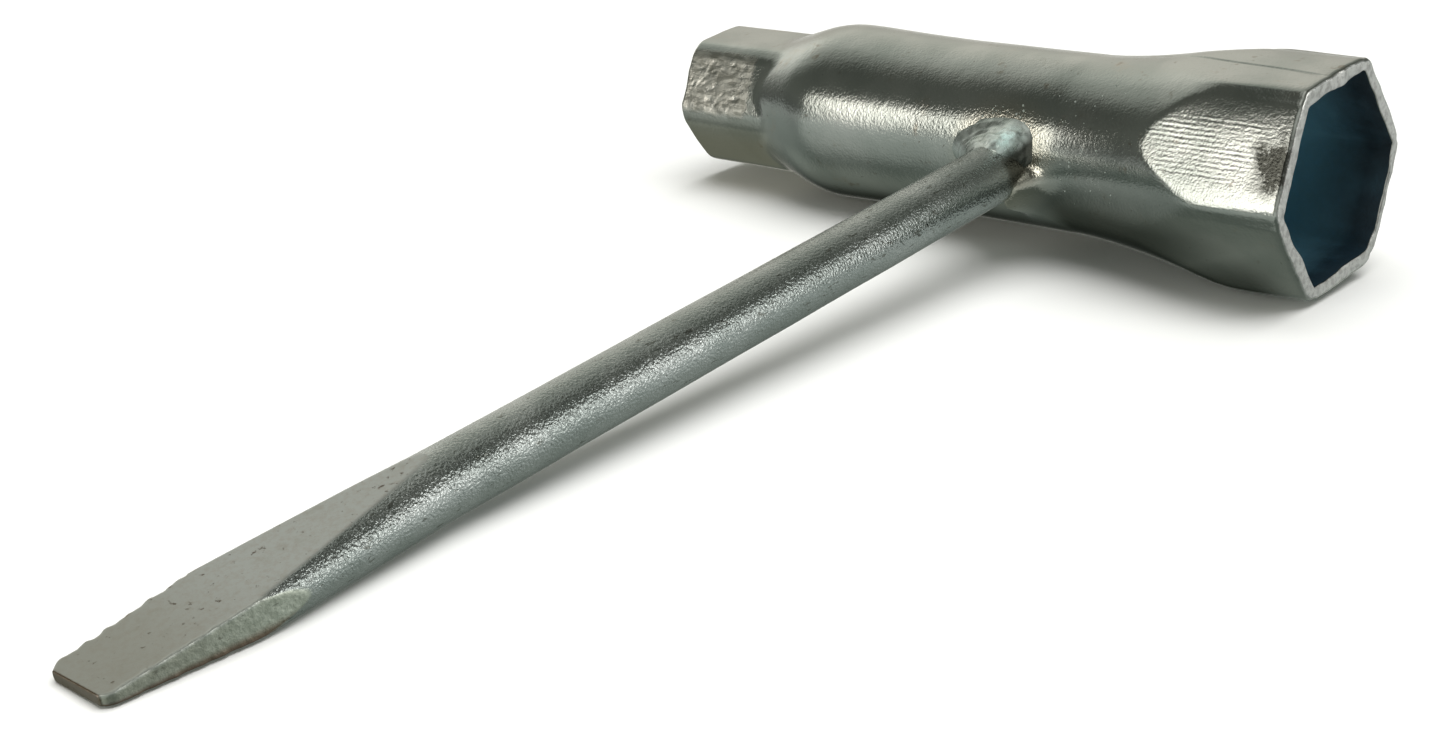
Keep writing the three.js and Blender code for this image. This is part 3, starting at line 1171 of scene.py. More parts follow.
    def profile(self) -> Array:
        """The rows, out along the outside, over the large rim, back along the bore and over the small rim.

        Returns:
            For each row its place along the tube, its share towards the bore, its inset from that skin and
            whether it is in the bore.
        """
        ends = (self.small_mouth + self.rim_round, self.large_mouth - self.rim_round)
        outside = [(x, 0.0, 0.0, 0.0) for x in spread(*ends, self.outer_rows, self.row_density)]
        bore_ends = (self.large_mouth - self.rim_inner_round, self.small_mouth + self.rim_inner_round)
        bore = [(x, 1.0, 0.0, 1.0) for x in np.linspace(*bore_ends, self.bore_rows)]
        large_rim = self.rim_rows(self.large_mouth, -1)
        small_rim = self.rim_rows(self.small_mouth, 1)[::-1]
        return np.array(outside + large_rim + bore + small_rim)

    def rim_rows(self, mouth: float, inwards: int) -> list[tuple[float, float, float, float]]:
        """Rows over a rim, from the rounded outer edge to the crisp inner one.

        Args:
            mouth: Place of the rim along the tube.
            inwards: 1 or -1, the way from the rim into the tube.

        Returns:
            The rows, as the profile lists them.
        """
        rows = []
        for turn in np.radians(self.rim_turns):
            x = mouth + inwards * self.rim_round * (1 - math.sin(turn))
            rows.append((x, 0.0, self.rim_round * (1 - math.cos(turn)), 0.0))
        rows += [(mouth, share, 0.0, 0.0) for share in self.rim_face_shares]
        for turn in np.radians(self.rim_inner_turns):
            x = mouth + inwards * self.rim_inner_round * (1 - math.sin(turn))
            rows.append((x, 1.0, -self.rim_inner_round * (1 - math.cos(turn)), 0.0))
        return rows

    def seam(self, at: TubePlaces) -> Array:
        """Depth of the tube's seam, which wanders over the top of the large socket.

        Args:
            at: Places on the tube.

        Returns:
            The depths.
        """
        x = at.x
        wave = self.seam_wave * np.sin(x / self.seam_wave_step)
        line = self.seam_shift + self.seam_lean * (x - self.seam_start) + wave
        off_line = (self.seam_radius * off_flat(at.around, 0) - line) / self.seam_width
        start, end = self.seam_clear
        clear = self.seam_least + (1 - self.seam_least) * ramp(x, *start) * ramp(x, *end)
        return self.seam_depth * np.exp(-(off_line**2)) * clear * ramp(x, *self.seam_fade)

    def dents(self, at: TubePlaces) -> Array:
        """Depth of the short scuffs on one flat of the small socket.

        Args:
            at: Places on the tube.

        Returns:
            The depths.
        """
        draw = np.random.default_rng(self.dent_seed)
        across = at.across(self.scuffed_flat, self.small_nut / 2)
        ends = (self.small_mouth + self.dent_margins[0], self.small_flat_end - self.dent_margins[1])
        depths = np.zeros_like(at.x)
        for _ in range(self.dent_count):
            off_x = at.x - draw.uniform(*ends)
            off_across = across - draw.uniform(*self.dent_across)
            long = draw.uniform(*self.dent_length)
            wide = draw.uniform(*self.dent_width)
            lean = draw.normal(0.0, self.dent_lean)
            run = off_x * math.cos(lean) + off_across * math.sin(lean)
            rise = off_across * math.cos(lean) - off_x * math.sin(lean)
            shape = np.exp(-np.abs(run / long) ** 4 - np.abs(rise / wide) ** 2)
            depths += draw.uniform(*self.dent_depth) * shape
        return depths

    def apron(self, at: TubePlaces) -> Array:
        """The smooth swelling of the barrel where the rod's lower side runs into it, away from the bead.

        Args:
            at: Places on the tube.

        Returns:
            The heights.
        """
        up = self.barrel_radius * at.upward
        front = np.sin(at.around) > 0
        from_rod = np.clip(np.hypot(at.x, up) - self.rod_radius, 0, None)
        turn = np.degrees(np.arctan2(at.x, up))
        share = ramp(turn, *self.apron_start) * ramp(np.abs(turn), *self.apron_end) * front
        return self.apron_height * np.exp(-((from_rod / self.apron_width) ** self.apron_power)) * share

    def mouth_relief(self, at: TubePlaces) -> Array:
        """Unevenness of the bore near the large mouth: one thin wall, and lumps along the edge.

        Args:
            at: Places on the tube.

        Returns:
            The depths into the wall.
        """
        thin = ramp(np.abs(off_flat(at.around, self.thin_flat)), *self.thin_angles) * self.rim_thinning
        ring = self.lump_radius * np.stack([0 * at.x, np.sin(at.around), at.upward], axis=-1)
        near = ramp(self.large_mouth - at.x, self.lump_depth, 0.0)
        return (thin + self.rim_lumps * self.lump_waves.at(ring)) * near

    def build(self, tool: ToolFrame) -> Piece:
        """Builds the tube's mesh.

        Args:
            tool: Where the tool lies.

        Returns:
            The object, with its masks.
        """
        x, share, inset, in_bore = (column[:, None] for column in self.profile().T)
        around = spread(0, TAU, self.columns, self.column_density)[:-1]
        at = TubePlaces(*np.broadcast_arrays(x, around[None, :]))
        outer = self.skin(at, False) - self.seam(at) + self.apron(at) - self.dents(at)
        inner = self.skin(at, True) + self.mouth_relief(at)
        radius = np.where(share > 0, (outer - self.rim_round) * (1 - share) + inner * share, outer) - inset

        points = at.points(radius)
        at_large = ramp(self.large_mouth - at.x, self.rim_wave_depth, 0.0)
        at_small = ramp(at.x - self.small_mouth, self.rim_wave_depth, 0.0)
        rim_wave = self.rim_waves.at(points * np.array([0, 1, 1])) * self.rim_wave * (at_large - at_small)
        skin_wave = self.skin_waves.at(points) * self.skin_wave * (1 - in_bore)
        radius = radius + skin_wave * ramp(radius * at.upward, *self.skin_wave_heights)
        points = at.points(radius)
        points[:, :, 0] -= np.abs(rim_wave) * np.sign(at.x)
        return add_solid(self.name, tool.place(points), True, self.masks(at, share, inset, in_bore))

    def masks(self, at: TubePlaces, share: Array, inset: Array, in_bore: Array) -> dict[Mask, Array]:
        """Values at the points for the finishes.

        Args:
            at: Places on the tube.
            share: How far a row lies towards the bore.
            inset: How far a row is drawn in from its skin.
            in_bore: Which rows are in the bore.

        Returns:
            The values by name.
        """
        across, marked, fretted = self.die_marks(at)
        outside = share == 0
        from_weld = np.hypot(at.x, self.barrel_radius * (at.around - self.weld_angle))
        on_flat = ramp(np.abs(at.across(self.scuffed_flat, self.small_nut / 2)), *self.scuff_widths)
        worn_start, worn_end = self.worn_insets
        from_ends = np.minimum(self.large_mouth - at.x, at.x - self.small_mouth)
        return {
            Mask.ROW_ACROSS: across,
            Mask.ROW_ALONG: at.x,
            Mask.ROW_SHARE: marked * outside,
            Mask.BORE: in_bore,
            Mask.CUT: np.where(outside, ramp(inset, self.cut_inset, self.rim_round), in_bore == 0),
            Mask.WORN: ramp(inset, *worn_start) * ramp(inset, *worn_end) * outside,
            Mask.HEAT: ramp(from_weld, *self.heat_distances) * outside,
            Mask.SCUFF: on_flat * ramp(self.small_flat_end - at.x, *self.scuff_depths) * outside,
            Mask.DARK_REFLECTION: self.dark_reflection(at) * outside,
            Mask.UNDERSIDE_SHADE: np.max([band.share(at) for band in self.underside_shade_bands], axis=0) * outside,
            Mask.UNDERSIDE_CAST: np.max([band.share(at) for band in self.underside_cast_bands], axis=0) * outside,
            Mask.FRET: fretted * outside,
            Mask.DEPTH: ramp(from_ends, *self.bore_depths),
        }

    def die_marks(self, at: TubePlaces) -> tuple[Array, Array, Array]:
        """Where the press left ridges and fretting on the marked flats, which begin in an arch.

        Args:
            at: Places on the tube.

        Returns:
            The distances across the flats, the shares of the ridges and the shares of the fretting.
        """
        x = at.x
        across, marked, fretted = (np.zeros_like(x) for _ in range(3))
        half = (self.large_nut + self.nut_clearance) / 2 + self.large_wall
        for flat in self.mark_flats:
            own = at.across(flat, half)
            near = np.abs(off_flat(at.around, flat)) < SIXTH / 2
            arch = self.mark_half_width - np.sqrt(np.clip(self.mark_half_width**2 - own**2, 0, None))
            from_arch = x - (self.large_flat_end + self.mark_start + arch)
            ridges = ramp(from_arch, 0.0, self.mark_fade) * ramp(x - self.mark_end, *self.mark_end_fade)
            ridges = ridges * ramp(self.mark_half_width - np.abs(own), 0.0, self.mark_side_fade)
            lengthways, sideways = self.mark_patch_stretch
            patches = self.mark_patches.at(np.stack([lengthways * x, sideways * own, 0 * x], axis=-1))
            patchy = ramp(patches, *self.mark_patch_limits)
            ridges = ridges * (self.mark_least + (1 - self.mark_least) * patchy)
            rubbed = ramp(np.abs(own - self.fret_middle), *self.fret_widths)
            worn = ramp(from_arch, 0.0, self.fret_fade) * rubbed
            across = np.where(near, own, across)
            marked = np.where(near, ridges, marked)
            fretted = np.where(near, worn, fretted)
        return across, marked, fretted

    def dark_reflection(self, at: TubePlaces) -> Array:
        """How strong the painted dark reflection is: at the mouth and on the flare beside the weld.

        Args:
            at: Places on the tube.

        Returns:
            The shares.
        """
        across = at.across(self.dark_reflection_flat, self.large_nut / 2)
        noise = self.dark_reflection_edge.at(np.stack([at.x, across, 0 * across], axis=-1))
        return np.max([dark_tone.share(at.x, across, noise) for dark_tone in self.dark_reflection_patches], axis=0)

    def dress(self, piece: Piece, rows: RowTree) -> None:
        """Raises the die marks, and gives the plating outside and the shade in the bore.

        Args:
            piece: The tube's object.
            rows: The tree that raises rows.
        """
        rows.raise_on(piece, self.mark_ridges, self.mark_seed, TubePlating().material())
        piece.data.materials.append(BoreShade().material())
        values = np.zeros(len(piece.data.vertices), np.float32)
        piece.data.attributes[Mask.BORE.value].data.foreach_get("value", values)
        corners = np.zeros(len(piece.data.loops), np.int32)
        piece.data.loops.foreach_get("vertex_index", corners)
        in_bore = values[corners].reshape(-1, 4).min(axis=1) > 0.5
        piece.data.polygons.foreach_set("material_index", in_bore.astype(np.int32))
        hand_over(piece, self.node)


@dataclass
class DriverRod:
    """The round rod whose free end is pressed and trimmed into a screwdriver blade."""

    name: str = "pressed_rod"
    node: str = "driver_rod"
    diameter: float = 6.5
    reach: float = 125.2
    start: float = 9.72
    blade_length: float = 34.7
    tip_thickness: float = 1.0
    tip_width: float = 7.8
    tip_corner: float = 1.2
    press_spread: float = 0.09
    trim_taper: float = 0.049
    edge_round: float = 0.13
    end_round: float = 0.16
    end_turns: tuple[float, ...] = (30, 60, 90)
    end_depths: Span = (0.2, 0.08)
    tip_depths: Span = (17, 4)
    ragged: tuple[float, float] = (0.07, 0.17)
    middle_rag: float = 0.12
    coarse_rags: Wobble = Wobble(12, 1.9)
    fine_rags: Wobble = Wobble(14, 0.9)
    fine_share: float = 0.5
    side_gap: float = 3.0
    pebble: float = 0.007
    pebbles: Wobble = Wobble(21, 0.62, 30)
    bow: float = 0.03
    bows: Wobble = Wobble(23, 12.0)
    rust_patches: Wobble = Wobble(27, 2.4)
    rust_patch_limits: Span = (0.55, 1.1)
    rust_depths: Span = (30, 14)
    low_darkening: Span = (-0.3, -0.85)
    high_rust: Span = (0.2, 0.7)
    end_darkening: Span = (0.7, 0.95)
    least_end_darkening: float = 0.8
    # painted shade in the pocket beside the weld's end
    pocket_shade_reach: Span = (13.4, 12.2)
    pocket_shade_turns: tuple[Span, Span] = ((40, 58), (118, 96))
    face_depths: Span = (0.12, 0.03)
    edge_depths: Span = (0.4, 0.1)
    far_wear_and_glint: float = 0.35
    shear_ridges: Ridges = Ridges(pitch=0.42, height=0.004, wander=0.9, wander_length=3.0)
    shear_seed: int = 9
    shear_lean: float = 0.12
    columns: int = 144
    gaps: int = 590
    dense: int = 720
    plain_sections: float = 3.2
    blade_sections: float = 4.6
    blade_lead: float = 3.0
    end_sections: float = 8.0
    dense_end: Span = (4.2, 0.7)
    rounding_reach: float = 3.0
    bend_weight: float = 0.6
    most_weight: float = 3.0

    @property
    def radius(self) -> float:
        """Radius of the round stock."""
        return self.diameter / 2

    @property
    def blade_start(self) -> float:
        """Where the pressed flats run out, from the tube's axis."""
        return self.reach - self.blade_length

    def half_thickness(self, along: Array) -> Array:
        """Height of the pressed flats over the rod's axis."""
        t = np.clip((along - self.blade_start) / self.blade_length, 0, 1)
        return self.radius + (self.tip_thickness / 2 - self.radius) * t

    def half_width(self, along: Array, side: Array, z: Array) -> Array:
        """Half width of the trimmed blade.

        Args:
            along: Places from the tube's axis.
            side: 1 on the near side, -1 on the far side.
            z: Heights over the rod's axis.

        Returns:
            Half widths, ragged towards the sheared edges.
        """
        along, side, z = np.broadcast_arrays(along, side, z)
        plain = self.tip_width / 2 + self.trim_taper * (self.reach - along)
        depth = np.where(side > 0, *self.ragged)
        place = np.stack([along, self.side_gap * side, z], axis=-1)
        level = np.clip(np.abs(z) / self.half_thickness(along), 0, 1)
        near_edge = self.middle_rag + (1 - self.middle_rag) * level**4
        rag = self.coarse_rags.at(place) + self.fine_share * self.fine_rags.at(place)
        into = np.clip(along - (self.reach - self.tip_corner), 0, self.tip_corner)
        cut = self.tip_corner - np.sqrt(self.tip_corner**2 - into**2)
        return plain + depth * near_edge * rag - cut

    def half_outline(self, along: float, side: int) -> Array:
        """Half of a section, closely sampled.

        Args:
            along: Place of the section from the tube's axis.
            side: 1 for the near half, -1 for the far one.

        Returns:
            Points from the top middle round one side to the bottom middle.
        """
        high = self.half_thickness(along)
        spread_out = self.radius + self.press_spread * max(along - self.blade_start, 0)
        z = high * np.cos(np.linspace(0, math.pi, self.dense))
        x = spread_out * np.sqrt(np.clip(1 - (z / self.radius) ** 2, 0, None))
        if along > self.blade_start:
            x = np.minimum(x, self.half_width(along, side, z))
        flat = np.linspace(0, 1, self.dense // 2)[:, None]
        top = np.concatenate([x[0] * flat, np.full_like(flat, high)], axis=1)
        bottom = np.concatenate([x[-1] * flat[::-1], np.full_like(flat, -high)], axis=1)
        return np.concatenate([top, np.stack([x, z], axis=1), bottom]) * np.array([side, 1])

    @staticmethod
    def resample(line: Array, count: int, weight: Array | None = None) -> Array:
        """Points along a line at even distances, or closer together where a weight is higher.

        Args:
            line: The line's points.
            count: Number of points wanted.
            weight: Weights at the line's points.

        Returns:
            The new points, both ends included.
        """
        length = np.linalg.norm(np.diff(line, axis=0), axis=1)
        if weight is not None:
            length = length * (weight[1:] + weight[:-1]) / 2
        total = np.concatenate([[0], np.cumsum(length)])
        want = np.linspace(0, total[-1], count)
        return np.stack([np.interp(want, total, line[:, i]) for i in range(line.shape[1])], axis=1)

    def section(self, along: float) -> Array:
        """A section's outline with rounded edges.

        Args:
            along: Place of the section from the tube's axis.

        Returns:
            Points from the top middle round by the near side, closer together at the edges.
        """
        near = self.resample(self.half_outline(along, 1), self.dense)
        far = self.resample(self.half_outline(along, -1), self.dense)[::-1]
        loop = np.concatenate([near[:-1], far[:-1]])
        step = np.linalg.norm(np.diff(loop, axis=0), axis=1).mean()
        margin = math.ceil(self.rounding_reach * self.edge_round / step)
        kernel = np.exp(-0.5 * (np.arange(-margin, margin + 1) * step / self.edge_round) ** 2)
        kernel /= kernel.sum()
        padded = np.concatenate([loop[-margin:], loop, loop[:margin]])
        soft = np.stack([np.convolve(padded[:, i], kernel, "valid") for i in range(2)], axis=1)
        middle = self.dense - 1
        halves = []
        for half in (soft[: middle + 1], np.concatenate([soft[middle:], soft[:1]])):
            way = np.gradient(half, axis=0)
            turn = np.abs(np.gradient(np.unwrap(np.arctan2(way[:, 1], way[:, 0]))))
            bend = turn / np.maximum(np.linalg.norm(way, axis=1), TINY)
            weight = 1 + np.clip(self.bend_weight * bend, 0, self.most_weight)
            halves.append(self.resample(half, self.columns // 2 + 1, weight)[:-1])
        return np.concatenate(halves)

    def section_density(self, along: Array) -> Array:
        """Wanted sections along the rod: more on the blade, and most of all at its end."""
        blade = self.blade_sections * ramp(along, self.blade_start - self.blade_lead, self.blade_start)
        return self.plain_sections + blade + self.end_sections * ramp(self.reach - along, *self.dense_end)

    def build(self, tool: ToolFrame) -> Piece:
        """Builds the rod's mesh.

        Args:
            tool: Where the tool lies.

        Returns:
            The object, with its masks.
        """
        along = spread(self.start, self.reach - self.end_round, self.gaps, self.section_density)
        sections = [self.section(a) for a in along]
        last = sections[-1]
        turns = np.radians(self.end_turns)
        for turn in turns:
            drawn_in = self.end_round * (1 - math.cos(turn))
            sections.append(last * (1 - drawn_in / np.abs(last).max(axis=0)))
        along = np.concatenate([along, self.reach - self.end_round * (1 - np.sin(turns))])
        outline = np.stack(sections)
        x, z = outline[:, :, 0], outline[:, :, 1]
        along = np.broadcast_to(along[:, None], x.shape)

        under_flat = self.half_thickness(along) - np.abs(z)
        under_side = self.half_width(along, np.where(x >= 0, 1, -1), z) - np.abs(x)
        in_blade = along > self.blade_start
        pressed = ramp(under_flat, *self.face_depths) * in_blade
        sheared = ramp(under_side, *self.face_depths) * in_blade * (1 - pressed)
        edge = ramp(under_flat, *self.edge_depths) * ramp(under_side, *self.edge_depths) * in_blade

        points = np.stack([x, -along, z], axis=-1)
        waves = self.pebble * self.pebbles.at(points) + self.bow * self.bows.at(points)
        height = waves * (1 - pressed) * (1 - sheared)
        out = outline / np.maximum(np.linalg.norm(outline, axis=-1, keepdims=True), TINY)
        points[:, :, [0, 2]] += out * height[:, :, None]

        end = ramp(self.reach - along, *self.end_depths)
        masks = {
            Mask.ROW_ACROSS: along + self.shear_lean * z,
            Mask.ROW_ALONG: z,
            Mask.ROW_SHARE: sheared,
            Mask.PRESSED: pressed * (1 - end),
            Mask.SHEARED: np.maximum(sheared, end),
            # worn edges, full on the near side and weaker on the far side: real wear with painted glints
            Mask.WORN: edge * np.where(x > 0, 1.0, self.far_wear_and_glint),
            Mask.BURN: self.pocket_shade_at(along, x, z),
            Mask.TIP: ramp(self.reach - along, *self.tip_depths),
            Mask.RUST: self.rust(points, z / self.half_thickness(along), sheared, edge, end),
        }
        return add_solid(self.name, tool.place(points), False, masks)

    def pocket_shade_at(self, along: Array, x: Array, z: Array) -> Array:
        """How strong the painted shade is on the rod where the weld ends, in the pocket on the side towards
        the large socket.
        """
        around = [ramp(np.degrees(np.arctan2(x, z)), *turns) for turns in self.pocket_shade_turns]
        return ramp(along, *self.pocket_shade_reach) * around[0] * around[1]

    def rust(self, points: Array, level: Array, sheared: Array, edge: Array, end: Array) -> Array:
        """How much rust colour the blade takes: darker towards the bottom of its sides and end, in rust spots
        on the far edge, and over its end.

        Args:
            points: The rod's points.
            level: Their heights, from -1 at the lower flat to 1 at the upper one.
            sheared: Which of them are on the trimmed sides.
            edge: Which are at the blade's long edges.
            end: Which are at its end.

        Returns:
            The shares.
        """
        side = np.maximum(sheared, edge) * ramp(self.reach + points[:, :, 1], *self.rust_depths)
        lower = ramp(level, *self.low_darkening) * np.maximum(end, side)
        far_edge = edge * ramp(level, *self.high_rust) * (points[:, :, 0] < 0)
        spots = far_edge * ramp(self.rust_patches.at(points), *self.rust_patch_limits)
        over_end = end * np.maximum(ramp(level, *self.end_darkening), self.least_end_darkening)
        return np.maximum.reduce([lower, spots, over_end])

    def dress(self, piece: Piece, rows: RowTree) -> None:
        """Raises the shear marks on the trimmed sides and gives the plating."""
        rows.raise_on(piece, self.shear_ridges, self.shear_seed, RodPlating().material())
        hand_over(piece, self.node)


@dataclass
class WeldBead:
    """A hand-laid bead in the corner between the rod and the barrel, with angles in degrees round the rod."""

    name: str
    node: str
    side: int
    turns: tuple[float, ...]
    rise: tuple[float, ...]
    run: tuple[float, ...]
    crown: tuple[float, ...]
    lump_turn: float
    lump_share: float
    lump_height: float
    seed: int
    lump_length: float = 20.0
    lump_width: float = 0.34
    pocket_shade_from: float = 37.0
    pocket_shade_length: float = 14.0
    sink: float = 0.12
    root_place: Place = (0.8, 0.97, 0.8)
    lean: float = -0.9
    closing_power: int = 8
    closing_least: float = 0.0004
    unevenness: tuple[tuple[float, float], ...] = ((0.1, 2.6), (0.04, 1.1))
    ripples: Ridges = Ridges(pitch=0.95, height=0.045, wander=0.5, wander_length=2.0)
    ripple_turn: float = 20.0
    softening: int = 15
    rows: int = 150
    over: int = 34
    under: int = 4

    def soft_line(self, turn: Array, values: tuple[float, ...]) -> Array:
        """Values along the bead, without kinks.

        Args:
            turn: Angles round the rod.
            values: The values at the bead's own angles.

        Returns:
            The values at the angles.
        """
        kernel = np.hanning(self.softening)
        line = np.pad(np.interp(turn, self.turns, values), self.softening // 2, "edge")
        return np.convolve(line, kernel / kernel.sum(), "valid")

    @staticmethod
    def on_barrel(barrel: float, from_rod: Array, way: Array) -> Array:
        """Points on a barrel of some radius, at distances from the rod's axis in directions round it."""
        z = from_rod * np.cos(way)
        return np.stack([from_rod * np.sin(way), -np.sqrt(np.clip(barrel**2 - z**2, 0, None)), z], axis=-1)

    def build(self, tool: ToolFrame, tube: SocketTube, rod: DriverRod) -> Piece:
        """Builds the bead's mesh.

        Args:
            tool: Where the tool lies.
            tube: The tube that it joins.
            rod: The rod that it joins.

        Returns:
            The object, with its masks.
        """
        turn = np.linspace(self.turns[0], self.turns[-1], self.rows)
        way = np.radians(turn)
        towards_ends = np.linspace(-1, 1, self.rows) ** self.closing_power
        closing = np.sqrt(np.clip(1 - towards_ends, self.closing_least, 1))
        rise, run, crown = (self.soft_line(turn, v) * closing for v in (self.rise, self.run, self.crown))

        foot = self.on_barrel(tube.barrel_radius - self.sink, rod.radius + rise, way)
        corner = self.on_barrel(tube.barrel_radius, np.full_like(way, rod.radius), way)
        sunk = 1 - self.sink / rod.radius
        toe = corner * np.array([sunk, 1, sunk])
        toe[:, 1] -= run
        root = corner * np.array(self.root_place)
        width = np.linalg.norm(foot - toe, axis=-1)[:, None]
        outward = np.stack([np.sin(way), np.full_like(way, self.lean), np.cos(way)], axis=-1)
        outward /= np.linalg.norm(outward, axis=-1, keepdims=True)
        foot, toe, root, outward = (line[:, None] for line in (foot, toe, root, outward))

        across = np.linspace(0, 1, self.over)[None, :]
        arch = 4 * across * (1 - across)
        off_lump = ((turn[:, None] - self.lump_turn) / self.lump_length) ** 2
        core = np.exp(-off_lump - ((across - self.lump_share) / self.lump_width) ** 2)
        bulge = crown[:, None] * arch + self.lump_height * core
        s = across[:, :, None]
        over = foot * (1 - s) + toe * s + outward * bulge[:, :, None]
        back = 2 * np.linspace(0, 1, self.under + 2)[None, 1:-1, None]
        under = np.where(back < 1, toe * (1 - back) + root * back, root * (2 - back) + foot * (back - 1))
        points = np.concatenate([over, under], axis=1)

        hidden = np.zeros((self.rows, self.under))
        shown = np.concatenate([arch * closing[:, None], hidden], axis=1)
        lumps = np.zeros_like(shown)
        for i, (height, length) in enumerate(self.unevenness):
            lumps = lumps + height * Wobble(self.seed + i, length).at(points)
        points = points + outward * (lumps * shown)[:, :, None]
        points = points * np.array([1, 1, self.side])
        masks = {
            Mask.ROW_ACROSS: np.concatenate([across[0], np.linspace(1, 0, self.under)]) * width,
            Mask.ROW_ALONG: turn[:, None] / self.ripple_turn,
            Mask.ROW_SHARE: shown,
            Mask.CORE: np.concatenate([core, hidden], axis=1),
            Mask.BURN: ramp(turn, self.pocket_shade_from, self.pocket_shade_from + self.pocket_shade_length)[:, None],
        }
        return add_solid(self.name, tool.place(points), False, masks)

    def dress(self, piece: Piece, rows: RowTree, finish: Material) -> None:
        """Raises the ripples and gives the plating."""
        rows.raise_on(piece, self.ripples, self.seed, finish)
        hand_over(piece, self.node)


@dataclass
class WeldSpatter:
    """Small beads of weld metal that stuck to the barrel round the weld."""

    name: str = "weld_spatter"
    half_length: float = 15.0
    first_turn: float = 25.0
    last_turn: float = 110.0
    shift: float = 10.5
    height: float = 2.6
    stretch: float = 1.5
    fade: float = 4.0
    rod_clearance: float = 3.4
    toe_radius: float = 5.7
    toe_fade: float = 0.5
    toe_lowest: float = 1.0
    toe_share: float = 4.0
    per_square_metre: float = 1500000.0
    smallest: float = 0.03
    largest: float = 0.14
    seed: int = 12
    patch: int = 60

    def build(self, tool: ToolFrame, tube: SocketTube) -> Piece:
        """Builds the patch of barrel that carries the specks.

        Args:
            tool: Where the tool lies.
            tube: The tube that carries the specks.

        Returns:
            The patch, with the density of its specks.
        """
        x = np.linspace(-self.half_length, self.half_length, self.patch)[:, None]
        around = np.radians(np.linspace(self.first_turn, self.last_turn, self.patch))[None, :]
        at = TubePlaces(*np.broadcast_arrays(x, around))
        points = at.points(tube.skin(at, False))
        up = points[:, :, 2]
        from_rod = np.hypot(at.x, up)
        from_middle = np.hypot((at.x - self.shift) / self.stretch, up - self.height)
        at_toe = np.exp(-(((from_rod - self.toe_radius) / self.toe_fade) ** 2)) * (up >= self.toe_lowest)
        density = np.exp(-((from_middle / self.fade) ** 2)) + self.toe_share * at_toe
        masks = {Mask.DENSITY: density * (from_rod > self.rod_clearance)}
        faces = grid_faces(self.patch, self.patch, False, False)
        return add_mesh(self.name, tool.place(points), faces.tolist(), masks)

    def dress(self, piece: Piece, specks: SpeckTree, finish: Material) -> None:
        """Scatters the specks and gives the plating."""
        specks.apply(piece, Density=self.per_square_metre, Smallest=self.smallest * MM,
                     Largest=self.largest * MM, Seed=self.seed, Material=finish)
        hand_over(piece)


@dataclass(frozen=True)
class SoftPanel:
    """A soft round panel of light, far off in one direction, with its inner and outer radius in degrees."""

    towards: Direction
    inner: float
    outer: float
    light: Colour


@dataclass(frozen=True)
class SoftBox:
    """A lamp that faces the tool, with sizes in metres and its turn about its own axis in degrees."""

    name: str
    towards: Direction
    distance: float
    width: float
    height: float
    radiance: float
    colour: Colour
    mirrored: bool
    roll: float = 0.0
    aim: Place = (0.0, 0.03, 0.01)

    def hang(self) -> None:
        """Hangs the lamp."""
        data = bpy.data.lights.new(self.name, "AREA")
        data.shape = "RECTANGLE"
        data.size = self.width
        data.size_y = self.height
        data.energy = self.radiance * math.pi * self.width * self.height
        data.color = self.colour
        back = np.array(self.towards) / np.linalg.norm(self.towards)
        level = np.cross([0, 0, 1.0], back)
        level /= np.linalg.norm(level)
        roll = math.radians(self.roll)
        side = level * math.cos(roll) + np.cross(back, level) * math.sin(roll)
        lamp = add_object(self.name, data)
        axes = np.column_stack([side, np.cross(back, side), back])
        lamp.matrix_world = pose(axes, back * self.distance + np.array(self.aim))
        lamp.visible_glossy = self.mirrored
        lamp.visible_camera = False


